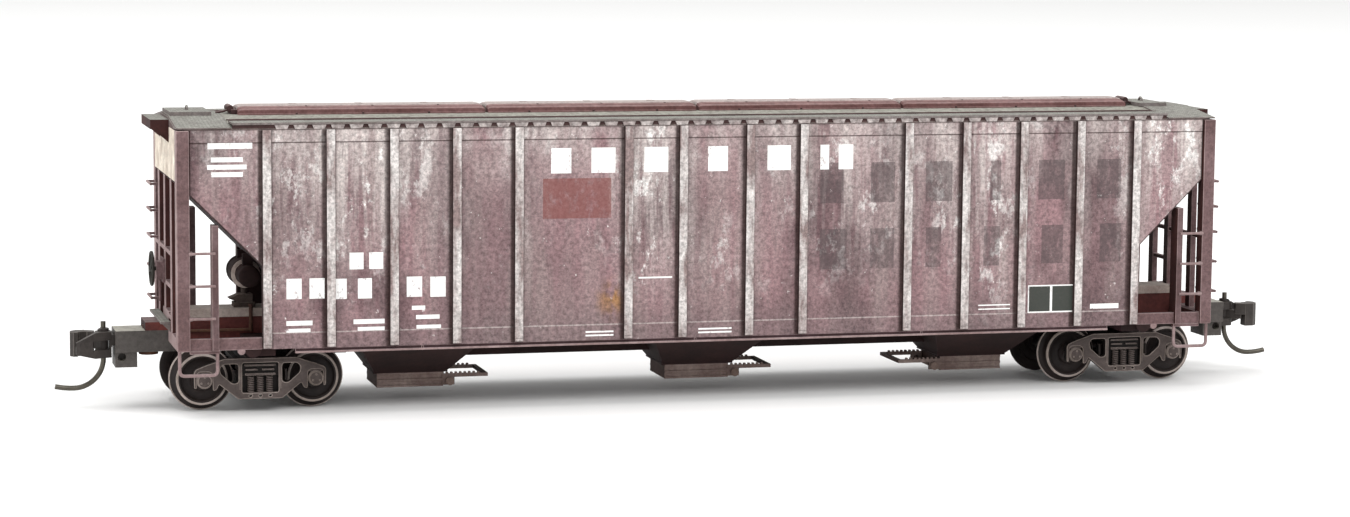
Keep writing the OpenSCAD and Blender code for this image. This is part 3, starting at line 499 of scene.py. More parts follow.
def tube(path, radius, sides=8, across=None):
    # A ring at each path point, square to the path: point + radius (cos a * first + sin a * second).
    path = np.asarray(path, float)
    ahead = np.gradient(path, axis=0)
    ahead /= np.linalg.norm(ahead, axis=1)[:, None]
    across = np.eye(3)[int(np.argmin(np.ptp(path, axis=0)))] if across is None else np.asarray(across, float)
    first = np.cross(ahead, across)
    first /= np.linalg.norm(first, axis=1)[:, None]
    second = np.cross(ahead, first)
    angle = 2 * np.pi * np.arange(sides) / sides
    radius = np.broadcast_to(radius, len(path))[:, None, None]
    ring = np.cos(angle)[None, :, None] * first[:, None] + np.sin(angle)[None, :, None] * second[:, None]
    return capped((path[:, None] + radius * ring).reshape(-1, 3), len(path), sides)


def lathe(profile, centre, axis, steps=64):
    # Each profile row is (radius, distance along the axis), turned about the axis through centre.
    profile = np.asarray(profile, float)
    angle = 2 * np.pi * np.arange(steps) / steps
    one, two = [(1, 2), (2, 0), (0, 1)][axis]
    points = np.zeros((len(profile), steps, 3))
    points[..., axis] = profile[:, 1:2]
    points[..., one] = profile[:, :1] * np.cos(angle)
    points[..., two] = profile[:, :1] * np.sin(angle)
    return capped(points.reshape(-1, 3) + np.asarray(centre, float), len(profile), steps)


def sweep(profile, stations, narrow=0.0, low=0.0):
    # A closed profile in y and z carried along x; narrow and low shrink its width and its height at each station.
    profile = np.asarray(profile, float)
    base = profile[:, 1].min()
    narrow, low = np.broadcast_to(narrow, len(stations)), np.broadcast_to(low, len(stations))
    points = np.zeros((len(stations), len(profile), 3))
    points[..., 0] = np.asarray(stations, float)[:, None]
    points[..., 1] = profile[:, 0] * (1 - narrow[:, None])
    points[..., 2] = base + (profile[:, 1] - base) * (1 - low[:, None])
    return capped(points.reshape(-1, 3), len(stations), len(profile))


def rounded(corners, pull, steps=4):
    # Each corner c becomes a short curve (1-s)^2 a + 2s(1-s) c + s^2 b, from a point a before it to a b after it.
    corner = np.asarray(corners, float)
    back, on = np.roll(corner, 1, 0) - corner, np.roll(corner, -1, 0) - corner
    reachBack, reachOn = np.linalg.norm(back, axis=1)[:, None], np.linalg.norm(on, axis=1)[:, None]
    pull = np.minimum(pull, 0.45 * np.minimum(reachBack, reachOn))
    start, end = corner + back / reachBack * pull, corner + on / reachOn * pull
    s = np.linspace(0, 1, steps + 1)[None, :, None]
    curve = (1 - s) ** 2 * start[:, None] + 2 * s * (1 - s) * corner[:, None] + s ** 2 * end[:, None]
    return curve.reshape(-1, 2)


def plate(loops, low, high, edge):
    # A flat plate between y = low and y = high with rounded edges: the first loop in x and z is its outline, and the
    # others are holes.
    curve = bpy.data.curves.new("plateOutline", "CURVE")
    curve.dimensions = "2D"
    curve.fill_mode = "BOTH"
    curve.extrude = (high - low) / 2 - edge
    curve.bevel_depth = edge
    curve.bevel_resolution = 1
    curve.offset = -edge
    for loop in loops:
        loop = np.asarray(loop, float)
        spline = curve.splines.new("POLY")
        spline.points.add(len(loop) - 1)
        spline.points.foreach_set("co", np.column_stack([loop, np.zeros(len(loop)), np.ones(len(loop))]).ravel())
        spline.use_cyclic_u = True
    shape = bpy.data.objects.new("plateOutline", curve)
    mesh = bpy.data.meshes.new_from_object(shape)
    flat = np.zeros(len(mesh.vertices) * 3)
    mesh.vertices.foreach_get("co", flat)
    flat = flat.reshape(-1, 3)
    faces = [list(face.vertices) for face in mesh.polygons]
    bpy.data.objects.remove(shape)
    bpy.data.curves.remove(curve)
    bpy.data.meshes.remove(mesh)
    return np.column_stack([flat[:, 0], (low + high) / 2 + flat[:, 2], flat[:, 1]]), faces


def joined(parts):
    # Puts (points, faces) pairs into one list of points and one of faces.
    points, faces, offset = [], [], 0
    for more, extra in parts:
        points.append(np.asarray(more, float))
        faces += [[int(n) + offset for n in face] for face in extra]
        offset += len(more)
    return np.concatenate(points), faces


def mirrored(part, axis):
    # The part on the other side of the middle, turned over along one axis.
    points = np.array(part[0], float)
    points[:, axis] *= -1
    return points, part[1]


def bothSides(parts, axis=1):
    return list(parts) + [mirrored(part, axis) for part in parts]


def moved(part, offset):
    return np.asarray(part[0], float) + np.asarray(offset, float), part[1]


def boxOf(node):
    # A frame node's lowest and highest corners, in millimetres.
    low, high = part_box(node)
    return np.array(low) / mm, np.array(high) / mm


# What the frame says, in millimetres
shellLow, shellHigh = boxOf("body_shell")
halfLength, ribFace, sillLow, sideTop = shellHigh[0], shellHigh[1], shellLow[2], shellHigh[2]
sheetFace = ribFace - 0.45      # the ribs stand 0.45 mm off the side sheet
truckPlace = {end: float(sum(box[0] for box in boxOf(f"truck_pin_{end}"))) / 2 for end in "ab"}
bayPlace = [float(sum(box[0] for box in boxOf(f"hopper_bay_{n}"))) / 2 for n in (1, 2, 3)]
print("body read:", round(2 * halfLength, 2), "mm long,", round(2 * ribFace, 2), "mm wide")

def onSide(start, end, out, into, low, high):
    # A strip along the near side sheet, from a little outside its face to a little inside it.
    return boxes([start, -sheetFace - out, low, end, -sheetFace + into, high])


body = {
    "edge": 0.06, "sunk": 0.02,
    "bandInset": 1.24, "bandOut": 0.04, "bandLow": 26.2,            # the sheet's lip under the roof
    "footInset": 8.12, "footOut": 0.025, "footHigh": 8.0,           # the sheet's doubled foot
    "ribFoot": 0.425, "ribFootLow": 0.12, "ribFootHigh": 0.5,       # half width and heights over the sill
    "lipEnd": 41.5, "lipLow": 6.02, "lipIn": 0.75, "railOut": 0.06, "railIn": 0.1, "railTall": 0.2,
    "seams": (-29.2, -2.0, 21.5), "seamHalf": 0.12,
}


def shellPick(centre, normal):
    # 0 is the side paint, 1 the end panel, 2 everything under and inside, in the dark under paint that carries painted
    # shade.
    if abs(centre.x) > halfLength - 0.05 and centre.z > 20:
        return 1
    if abs(centre.y) < sheetFace - 0.5 or normal.z < -0.5:
        return 2
    return 0


def makeBody():
    # The CAD shell in its paints, with the sheet's lips and foot, the ribs' feet, and the rail under the sill.
    finishPiece(copyOf(["body_shell"], "bodyShell", shellPick), "side endPanel under", "car",
                ["body_shell"], body["edge"])
    sunk, lipEnd, lipLow, half = (body[key] for key in ("sunk", "lipEnd", "lipLow", "ribFoot"))
    bandEnd, footEnd = halfLength - body["bandInset"], halfLength - body["footInset"]
    bands = [onSide(-bandEnd, bandEnd, body["bandOut"], sunk, body["bandLow"], sideTop),
             onSide(-footEnd, footEnd, body["footOut"], sunk, sillLow, body["footHigh"])]
    bands = pieceFrom("sideBands", *joined(bothSides(bands)))
    finishPiece(bands, "side", "car", bevel=0.02, segments=1)
    low, high = sillLow + body["ribFootLow"], sillLow + body["ribFootHigh"]
    feet = [boxes([x - half, -ribFace, low, x + half, -sheetFace, high]) for x in ribPlaces]
    feet = pieceFrom("ribFeet", *joined(bothSides(bothSides(feet, 0))))
    finishPiece(feet, "side", "car", bevel=0.05)
    rail = onSide(-lipEnd, lipEnd, body["railOut"], body["railIn"], lipLow, lipLow + body["railTall"])
    # The rail under the sill is in the pale edge paint, as a painted highlight along the sill's foot
    finishPiece(pieceFrom("sillRails", *joined(bothSides([rail]))), "postEdge", "car", bevel=0.03)
    lips = [onSide(-lipEnd, lipEnd, -0.03, body["lipIn"], lipLow, sillLow + sunk)]
    for x in body["seams"]:
        lips.append(onSide(x - body["seamHalf"], x + body["seamHalf"], sunk, 0.2, lipLow - sunk, sillLow))
    lips = pieceFrom("sillLips", *joined(bothSides(lips)))
    finishPiece(lips, "sill", "car", bevel=0.05, edge="postEdge")


# Letter and data places are plain blocks and bars on the near side, in millimetres. Blocks in a row share a height:
# x and width. Bars: x, z, width, height. The lift is how far the ink stands off the sheet.
marks = {
    "whiteMark": {
        "lift": 0.012, "rowHeight": 24.075, "rowTall": 2.45,
        "row": [(-15.6, 2.0), (-11.4, 2.4), (-6.1, 2.4), (0.15, 2.0), (6.4, 2.4), (11.1, 0.9), (13.3, 1.5)],
        "bars": [
            (-35.6, 14.75, 1.35, 1.6), (-33.7, 14.75, 1.35, 1.6), (-41.6, 12.2, 1.45, 1.95), (-39.4, 12.2, 1.45, 1.95),
            (-37.1, 12.1, 1.1, 1.95), (-34.8, 12.1, 1.35, 1.95), (-30.0, 12.15, 1.5, 1.95), (-27.7, 12.1, 1.5, 1.95),
            (-47.6, 25.9, 4.2, 0.55), (-47.9, 24.6, 3.0, 0.45), (-47.9, 23.9, 3.7, 0.45), (-47.9, 23.2, 3.0, 0.45),
            (-41.1, 8.9, 2.5, 0.45), (-34.4, 8.9, 3.0, 0.45), (-41.2, 8.2, 2.3, 0.35), (-34.2, 8.2, 2.6, 0.35),
            (-29.6, 10.1, 1.3, 0.4), (-28.7, 9.2, 2.3, 0.4), (-28.6, 8.25, 2.4, 0.35), (41.1, 8.5, 3.1, 0.5),
            (-6.1, 12.5, 3.4, 0.16), (-11.7, 7.3, 2.8, 0.16), (-11.7, 6.95, 2.8, 0.16), (0.0, 7.3, 3.4, 0.16),
            (0.0, 6.95, 3.4, 0.16), (29.2, 8.9, 3.4, 0.12), (29.2, 8.5, 3.4, 0.12), (35.3, 9.4, 5.0, 2.8),
        ],
    },
    "grayMark": {
        "lift": 0.006, "rowHeight": 21.5, "rowTall": 4.0,
        "row": [(11.9, 2.4), (17.2, 2.5), (23.1, 2.8), (29.1, 1.1), (35.1, 2.8), (41.3, 2.6)],
        "bars": [(12.1, 14.9, 2.8, 4.0), (17.2, 14.9, 2.5, 4.0), (22.6, 14.9, 1.6, 4.0), (28.8, 14.9, 1.7, 4.0),
                 (35.3, 14.95, 2.3, 3.9), (41.6, 15.0, 2.3, 3.9)],
    },
    "redMark": {"lift": 0.008, "bars": [(-14.0, 20.4, 6.8, 3.9)]},
    "plateMark": {"lift": 0.016, "bars": [(34.05, 9.4, 2.25, 2.55), (36.55, 9.4, 2.25, 2.55)]},
}


def makeMarks():
    # Thin slabs of ink, a little prouder over the sheet's doubled foot; the far side is the near side turned round.
    for kind, mark in marks.items():
        row = [(x, mark["rowHeight"], width, mark["rowTall"]) for x, width in mark.get("row", [])]
        near = []
        for x, z, width, tall in row + mark["bars"]:
            out = mark["lift"] + (body["footOut"] if z - tall / 2 < body["footHigh"] else 0)
            near.append([x - width / 2, -sheetFace - out, z - tall / 2,
                         x + width / 2, -sheetFace + body["sunk"], z + tall / 2])
        far = [[-slab[3], -slab[4], slab[2], -slab[0], -slab[1], slab[5]] for slab in near]
        finishPiece(pieceFrom(kind, *boxes(near + far)), kind, "car")


hatch = {
    # half of the cover's section, from its foot up over the crown: y and height above the roof
    "section": [(2.75, 0), (2.75, 0.1), (2.66, 0.14), (2.66, 0.47), (2.6, 0.52), (2.1, 0.62), (2.08, 0.68), (2.0, 0.69),
                (1.95, 0.65), (1.3, 0.79), (1.25, 0.85), (0.7, 0.87)],
    "endGap": 0.95, "taper": (0, 0.12, 0.5), "narrow": (0.04, 0.02, 0), "low": (0.35, 0.1, 0),
    # fittings at these places from a cover's middle, as boxes over the roof
    "places": (-6.5, 0, 6.5), "bump": (-0.33, -0.5, 0.8, 0.33, 0.5, 0.93),
    "clips": [(-0.1, -2.78, 0, 0.1, -2.62, 0.2), (1.0, -1.6, 0.7, 1.2, -1.4, 0.8)],
    # the hinge end beyond the first and last cover: base, roller and the rod that runs down to the roof
    "base": (0, -1.5, 0, 0.55, 1.5, 0.45), "roller": [(0.3, -1.1), (0.34, -1.0), (0.34, 1.0), (0.3, 1.1)],
    "rollerAt": (0.6, 0, 0.55), "rod": [(0.6, -0.9, 0.5), (1.2, -0.9, 0.28), (2.0, -0.9, 0.12)], "rodRadius": 0.12,
}


def makeHatches():
    # The section is swept along each cover, and shrinks a little over each end.
    right = np.array(hatch["section"], float)
    section = np.concatenate([right, right[::-1] * (-1, 1)])
    taper = np.array(hatch["taper"])
    narrow, low = (hatch[key] + hatch[key][::-1] for key in ("narrow", "low"))
    covers, trim, nodes = [], [], []
    for number in range(1, 5):
        bottom, top = boxOf(f"hatch_cover_{number}")
        nodes.append(f"hatch_cover_{number}")
        roof = bottom[2]
        start = bottom[0] + (hatch["endGap"] if number == 1 else 0)
        end = top[0] - (hatch["endGap"] if number == 4 else 0)
        covers.append(sweep(section + (0, roof), np.concatenate([start + taper, end - taper[::-1]]), narrow, low))
        for place in hatch["places"]:
            middle = (start + end) / 2 + place
            covers.append(boxes(np.array(hatch["bump"]) + (middle, 0, roof) * 2))
            trim += bothSides([boxes(np.array(hatch["clips"]) + (middle, 0, roof) * 2)])
        if number in (1, 4):
            hinge = joined([boxes(hatch["base"]), lathe(hatch["roller"], hatch["rollerAt"], 1, 24),
                            tube(hatch["rod"], hatch["rodRadius"])])
            trim.append(moved(mirrored(hinge, 0), (start, 0, roof)) if number == 1 else moved(hinge, (end, 0, roof)))
    finishPiece(pieceFrom("hatchCovers", *joined(covers), 25), "hatch", "car", nodes, 0.03)
    finishPiece(pieceFrom("hatchTrim", *joined(trim)), "hatchTrim", "car", bevel=0.03)


board = {
    # the saw-tooth brackets under the board's edge: one trapezium each
    "pitch": 1.78, "count": 52, "firstX": -43.9, "topHalf": 0.7, "footHalf": 0.52, "low": 27.44, "high": 27.9,
    "outer": 9.86, "thick": 0.22,
    # strips along the whole board: y from, y to, z from, z to
    "strips": [(-9.91, -9.46, 27.85, 27.93), (-5.46, -5.3, 27.7, 28.12), (-6.92, -6.8, 27.7, 28.14)],
    # the end platform's ends in x, and its section over the roof
    "platform": (47.5, 52.66),
    "arch": [(-9.88, 27.5), (9.88, 27.5), (9.88, 27.62), (2.85, 28.39), (-2.85, 28.39), (-9.88, 27.62)],
}


def makeBoards():
    # The CAD boards, their brackets and edge strips, and the platforms at both ends of the roof.
    finishPiece(copyOf(["running_board_near", "running_board_far"], "runningBoards"), "grating", "car",
                ["running_board_near", "running_board_far"], 0.03)
    # Brackets: the trapezium is repeated along the eave at x = n pitch, all points at once
    xs = (np.arange(board["count"] + 1) - board["count"] / 2) * board["pitch"]
    xs = xs[xs > board["firstX"]]
    foot, top, low, high = (board[key] for key in ("footHalf", "topHalf", "low", "high"))
    shape = np.array([(-foot, low), (foot, low), (top, high), (-top, high)])
    points = np.zeros((len(xs), 2, 4, 3))
    points[..., 0] = xs[:, None, None] + shape[None, None, :, 0]
    points[..., 1] = np.array([-board["outer"], -board["outer"] + board["thick"]])[None, :, None]
    points[..., 2] = shape[None, None, :, 1]
    quads = np.array([[0, 1, 2, 3], [7, 6, 5, 4], [0, 4, 5, 1], [1, 5, 6, 2], [2, 6, 7, 3], [3, 7, 4, 0]])
    faces = (quads[None] + 8 * np.arange(len(xs))[:, None, None]).reshape(-1, 4)
    brackets = bothSides([(points.reshape(-1, 3), faces)])
    finishPiece(pieceFrom("boardBrackets", *joined(brackets)), "bracket", "car", bevel=0.03, segments=1)
    end = boxOf("running_board_near")[1][0]
    strips = [boxes([-end, outer, bottom, end, inner, top]) for outer, inner, bottom, top in board["strips"]]
    strips.append(onSide(-end, end, 0.12, -0.02, sideTop, 27.86))
    finishPiece(pieceFrom("boardAngles", *joined(bothSides(strips))), "hatchTrim", "car",
                bevel=0.02, segments=1)
    platforms = bothSides([sweep(board["arch"], board["platform"])], 0)
    finishPiece(pieceFrom("endPlatforms", *joined(platforms)), "grating", "car", bevel=0.03,
                edge="hatchTrim")


def walkPick(centre, normal):
    # The shelf outside the end takes maroon painted shade at its sides and underneath.
    return 1 if abs(centre.x) > halfLength - 0.02 and normal.z < 0.5 else 0


def underPick(centre, normal):
    # The centre sill's flanks in the open end are red-brown paint, lightened as a painted glow of light through the
    # plastic, and what lies by the side sills is in painted dark shade.
    if abs(centre.x) > 39 and centre.z > 6.4 and abs(normal.y) > 0.7:
        return 1
    return 2 if abs(centre.y) > 5 or abs(centre.x) < 41 else 0


def gatePick(centre, normal):
    # The gate's sides are dusty, and the rest takes a darker copy of the gate paint as painted shade.
    return 0 if abs(normal.y) > 0.7 else 1


def cagePick(centre, normal):
    # What faces the middle of the car takes maroon painted shade, as do the flanks of the brake end's inner posts; what
    # faces outward takes painted light in the pale edge paint.
    outward = normal.x if centre.x > 0 else -normal.x
    if outward < -0.5 or (centre.x < 0 and abs(centre.y) < 8 and abs(normal.y) > 0.5 and centre.z > 8):
        return 1
    return 2 if outward > 0.5 else 0


# Where a copy takes more than one paint, this chooses by place and facing
picks = {"endWalks": walkPick, "underframeSills": underPick, "outletGates": gatePick, "endCages": cagePick}
bays, gates = ([f"{name}_{number}" for number in (1, 2, 3)] for name in ("hopper_bay", "outlet_gate"))
# Plain copies of frame nodes with their edges eased: name, nodes, paints, body, slot, edge width, edge paint
copies = [
    ("roofDeck", ["roof"], "roof", "car", "roof_paint", 0.08, None),
    ("endWalks", ["end_walk_a", "end_walk_b"], "grating cageRed", "car", "roof_paint", 0.04, None),
    ("underframeSills", ["underframe"], "sill innerRed under", "car", "under_paint", 0.06, None),
    # The chutes' eased edges take the plum sill paint as a painted highlight
    ("hopperChutes", bays, "under", "car", "under_paint", 0.06, "sill"),
    ("outletGates", gates, "gate gateDark", "car", "under_paint", 0.04, "gateEdge"),
    ("gateShafts", ["gate_shafts"], "gateEdge", "car", "under_paint", 0.03, None),
    ("endCages", ["end_cage_a", "end_cage_b"], "post cageRed postEdge", "car", "side_paint", 0.06, "postEdge"),
    ("brakeHousing", ["brake_housing"], "post", "car", "under_paint", 0.05, None),
    ("brakeStep", ["brake_step"], "grating", "car", "roof_paint", 0.03, None),
    ("controlValve", ["control_valve"], "valve", "car", "under_paint", 0.08, None),
    ("brakePipes", ["brake_pipes"], "pipe", "car", "under_paint", 0.0, None),
    ("handWheel", ["brake_wheel"], "brake", "brake_handwheel", "brake_plastic", 0.03, None),
    ("couplerBoxes", ["coupler_box_a", "coupler_box_b", "box_lid_a", "box_lid_b"], "couplerBox", "car",
     "coupler_plastic", 0.06, "couplerEdge"),
    ("boxScrews", ["box_screws"], "pipe", "car", "screw_steel", 0.03, None),
    ("truckPins", ["truck_pin_a", "truck_pin_b"], "truck", "car", "truck_plastic", 0.05, None),
    ("ballastWeight", ["ballast_weight"], "steel", "car", "weight_steel", 0.1, None),
]


def makeCopies():
    # Rows of the table first, then what each end has of its own.
    for name, nodes, names, rider, slot, width, rub in copies:
        finishPiece(copyOf(nodes, name, picks.get(name)), names, rider, nodes, width, edge=rub)
    for end in "ab":
        pin, spring = f"trip_pin_{end}", f"draft_spring_{end}"
        finishPiece(copyOf([pin], f"tripPin_{end}"), "tripWire", f"knuckle_body_{end}", [pin])
        finishPiece(copyOf([spring], f"draftSpring_{end}"), "copper", f"coupler_{end}", [spring])
        for number in "12":
            node = f"axle_{end}{number}"
            finishPiece(copyOf([node], f"{node}_pin"), "steel", f"wheelset_{end}{number}", [node], 0.03)


head = {
    # reach from the pin and height of the cuts that taper the guard arm, above and below, and its shortened tip
    "cuts": (((0.87, 7.35), (2.6, 6.55)), ((0.9, 4.85), (2.6, 5.32))), "tip": 2.75, "pinRadius": 0.25,
    # the knuckle's web beside the pin, its upper arm, and its full-height face, in x from the pin and y
    "web": [(0, -0.46), (1.3, -1.5), (1.6, -0.8), (0.3, 0.35)],
    "arm": [(0.78, -0.75), (0.75, -1.25), (1.4, -1.68), (1.9, -1.74), (1.9, -0.5), (1.5, -0.6), (1.0, -0.35)],
    "face": [(1.62, -1.76), (2.6, -1.7), (3.1, -1.2), (3.17, -0.4), (2.85, 0.1), (2.45, 0.1), (2.3, -0.35),
             (1.62, -0.58)],
    "webHeight": (5.62, 6.54), "armHeight": (6.1, 7.28), "faceHeight": (4.9, 7.3), "hubRadius": 0.46,
}


def prism(outline, low, high):
    # An outline in x and y between two heights.
    outline = np.asarray(outline, float)
    levels = [np.column_stack([outline, np.full(len(outline), z)]) for z in (low, high)]
    return capped(np.concatenate(levels), 2, len(outline))


def cutAway(mesh, point, normal):
    # Cuts off what lies beyond a plane, and closes the cut.
    work = bmesh.new()
    work.from_mesh(mesh)
    everything = work.verts[:] + work.edges[:] + work.faces[:]
    found = bmesh.ops.bisect_plane(work, geom=everything, plane_co=point, plane_no=normal, clear_outer=True)
    rim = [item for item in found["geom_cut"] if isinstance(item, bmesh.types.BMEdge)]
    bmesh.ops.holes_fill(work, edges=rim, sides=0)
    work.to_mesh(mesh)
    work.free()


def makeCouplers():
    # The CAD shank with its guard arm cut to a taper, and a knuckle of hub, web, arm and face about the pin.
    turn = 2 * np.pi * np.arange(32) / 32
    hub = head["hubRadius"] * np.column_stack([np.cos(turn), np.sin(turn)])
    parts = [prism(head[name], *head[name + "Height"]) for name in ("web", "arm", "face")]
    knuckle = joined([prism(hub, *head["webHeight"])] + parts)
    for end in "ab":
        way = 1 if end == "b" else -1
        low, high = boxOf(f"trip_pin_{end}")
        pin = (low[0] if way > 0 else high[0]) + way * head["pinRadius"]
        shanks = [f"shank_top_{end}", f"shank_bottom_{end}"]
        shank = copyOf(shanks, f"couplerShank_{end}")
        for (nearX, nearZ), (farX, farZ) in head["cuts"]:
            upward = 1 if farZ < nearZ else -1
            normal = Vector((way * abs(farZ - nearZ), 0, upward * (farX - nearX))).normalized()
            cutAway(shank.data, Vector((pin + way * nearX, 0, nearZ)) * mm, normal)
        cutAway(shank.data, Vector((pin + way * head["tip"], 0, 6)) * mm, Vector((way, 0, 0)))
        shade(shank.data, 30)
        finishPiece(shank, "coupler", f"coupler_{end}", shanks, 0.05, edge="couplerEdge")
        points = knuckle[0] * (way, way, 1) + (pin, 0, 0)
        finishPiece(pieceFrom(f"couplerKnuckle_{end}", points, knuckle[1], 30), "coupler", f"knuckle_body_{end}",
                    [f"knuckle_{end}"], 0.06, edge="couplerEdge")


ladder = {
    "stileAt": 3.62, "stileHalf": 0.3, "stileTop": 18.4, "inner": 8.3, "outer": 10.0,
    "rungY": 10.02, "rungs": (9.58, 12.68, 15.78), "rungRadius": 0.14, "post": 1.2, "sides": 10,
    "stirrupInset": 0.25, "stirrupLow": 4.1, "stirrupRadius": 0.17,
    "endRungs": (9.7, 12.75, 15.8, 18.4, 21.0), "endReach": 0.7, "endSpan": (3.9, 0.3), "endFeet": (3.75, 0.6),
    "endRadius": 0.15, "endHalf": 0.12,
}


def ladderPick(normals, centres):
    # 1, maroon painted shade, on what faces the middle of the car; 2, pale painted light, on what faces its end.
    outward = normals[:, 0] * np.sign(centres[:, 0])
    return np.where(outward < -0.7, 1, np.where(outward > 0.7, 2, 0))


def sidePart():
    # The side ladder of the far corner at end b: one stile, rungs across to the corner post, and a rounded stirrup.
    stile, half, post = halfLength - ladder["stileAt"], ladder["stileHalf"], halfLength - ladder["post"]
    parts = [boxes([stile - half, ladder["inner"], sillLow + 0.02,
                    stile + half, ladder["outer"], ladder["stileTop"]])]
    for z in ladder["rungs"]:
        ends = [(stile, ladder["rungY"], z), (post + 0.1, ladder["rungY"], z)]
        parts.append(tube(ends, ladder["rungRadius"], ladder["sides"]))
        parts.append(boxes([post - 0.25, sheetFace, z - 0.2, post, ladder["outer"], z + 0.2]))
    near, far, low = stile - 0.2, halfLength - ladder["stirrupInset"], ladder["stirrupLow"]
    bend = rounded([(near, sillLow), (near, low), (far, low), (far, sillLow)], 0.5, 6)[6:-7]
    bend = np.concatenate([[(near, sillLow)], bend, [(far, sillLow)]])
    path = np.column_stack([bend[:, 0], np.full(len(bend), sheetFace - 0.2), bend[:, 1]])
    parts.append(tube(path, ladder["stirrupRadius"], ladder["sides"], (0, 1, 0)))
    parts.append(boxes([stile - 0.4, sheetFace - 0.38, sillLow - 0.3, post, sheetFace + 0.12, sillLow]))
    return parts


def endPart():
    # Rungs on the end face, each on two small feet.
    out, parts, half = halfLength + ladder["endReach"], [], ladder["endHalf"]
    for z in ladder["endRungs"]:
        ends = [(out, sheetFace - inset, z) for inset in ladder["endSpan"]]
        parts.append(tube(ends, ladder["endRadius"], ladder["sides"]))
        for foot in (sheetFace - inset for inset in ladder["endFeet"]):
            parts.append(boxes([halfLength, foot, z - half, out, foot + 0.25, z + half]))
    return parts


def makeLadders():
    # The parts of one corner, turned to each corner by mirroring X and Y; only some corners have end rungs.
    for end, way in (("a", -1), ("b", 1)):
        for side, out in (("near", -1), ("far", 1)):
            node = f"ladder_{end}_{side}"
            reach = np.abs(np.array(boxOf(node))[:, 0]).max()
            points, faces = joined(sidePart() + (endPart() if reach > halfLength + 0.5 else []))
            piece = pieceFrom(f"{node}_pair", points * (way, out, 1), faces, 30)
            finishPiece(piece, "rung cageRed postEdge", "car", [node], 0.04, edge="postEdge")
            mesh = piece.data
            normals, centres = (np.zeros(len(mesh.polygons) * 3) for _ in range(2))
            mesh.polygons.foreach_get("normal", normals)
            mesh.polygons.foreach_get("center", centres)
            chosen = ladderPick(normals.reshape(-1, 3), centres.reshape(-1, 3))
            mesh.polygons.foreach_set("material_index", chosen.astype(int))


under = {
    "sillHalf": 1.3, "sillLow": 4.15, "joint": (3.9, 6.05), "flange": (3.7, 3.2, 0.14),
    # along the sill, as x from, x to, z from, z to: its deep part over the trucks, and the pale covers at its ends
    "overTruck": (35.25, 41.2, 4.75, 5.8), "cover": (40.1, 51.9, 8.62, 9.44), "coverHalf": 1.68,
    "padAt": 2.1, "padHeight": 6.34, "pad": [(0.2, 8.9), (0.36, 8.9), (0.36, 9.5), (0.34, 9.56), (0.1, 9.57)],
}


def makeUnderTrim():
    # The centre sill runs on between the chutes, and a thin flange goes round the foot of each chute.
    half, (near, far), (reach, wide, thick) = under["sillHalf"], under["joint"], under["flange"]
    parts = []
    for place, gate in zip(bayPlace, gates):
        for way in (-1, 1):
            start, end = sorted([place + way * near, place + way * far])
            if abs(start + end) / 2 < bayPlace[-1]:
                parts.append(boxes([start, -half, under["sillLow"], end, half, sillLow]))
        gateTop = boxOf(gate)[1][2]
        parts.append(boxes([place - reach, -wide, gateTop, place + reach, wide, gateTop + thick]))
    near, far, low, high = under["overTruck"]
    parts += bothSides([boxes([near, -half, low, far, half, high])], 0)
    # The sill joints' eased edges take the plum sill paint as a painted highlight
    finishPiece(pieceFrom("sillJoints", *joined(parts)), "under", "car", bevel=0.04, edge="sill")
    near, far, low, high = under["cover"]
    covers = bothSides([boxes([near, -under["coverHalf"], low, far, under["coverHalf"], high])], 0)
    finishPiece(pieceFrom("sillCovers", *joined(covers)), "paleSill", "car", bevel=0.03)
    pad = lathe(under["pad"], (truckPlace["b"] + under["padAt"], 0, under["padHeight"]), 1, 24)
    pads = pieceFrom("jackPads", *joined(bothSides(bothSides([pad], 0))))
    finishPiece(pads, "postEdge", "car", bevel=0.03)


tank = {
    # radius, distance across the car, and 1 on the step, painted pale as a highlight: a narrow front chamber bolted to
    # a wide back one
    "profile": [(0.2, -3.79, 0), (0.6, -3.76, 0), (0.9, -3.66, 0), (1.03, -3.5, 0), (1.06, -3.3, 0), (1.06, -0.72, 1),
                (1.1, -0.66, 1), (1.36, -0.62, 1), (1.42, -0.56, 0), (1.46, -0.5, 0), (1.46, -0.2, 0), (1.4, -0.14, 0),
                (1.4, 2.55, 0), (1.46, 2.6, 0), (1.46, 2.85, 0), (1.4, 2.9, 0), (1.4, 3.4, 0), (1.28, 3.62, 0),
                (1.0, 3.7, 0), (0.6, 3.77, 0), (0.2, 3.79, 0)],
    "radius": 1.4, "steps": 48, "hanger": (-0.5, 1.6, 0.9, 0.5, 2.2, 2.1),
}


def makeTank():
    # The profile turned about Y, with a hanger near each end; the drum is in the dark under paint with its painted
    # shade, and the step in a painted highlight.
    low, high = boxOf("air_reservoir")
    centre = ((low[0] + high[0]) / 2, 0, low[2] + tank["radius"])
    rows, steps = np.array(tank["profile"]), tank["steps"]
    drum = lathe(rows[:, :2], centre, 1, steps)
    hangers = joined(bothSides([moved(boxes(tank["hanger"]), centre)]))
    slots = np.concatenate([np.repeat(rows[:-1, 2], steps), [0, 0], np.zeros(len(hangers[1]))])
    piece = pieceFrom("airReservoir", *joined([drum, hangers]), slots=slots)
    finishPiece(piece, "under paleSill", "car", ["air_reservoir"])


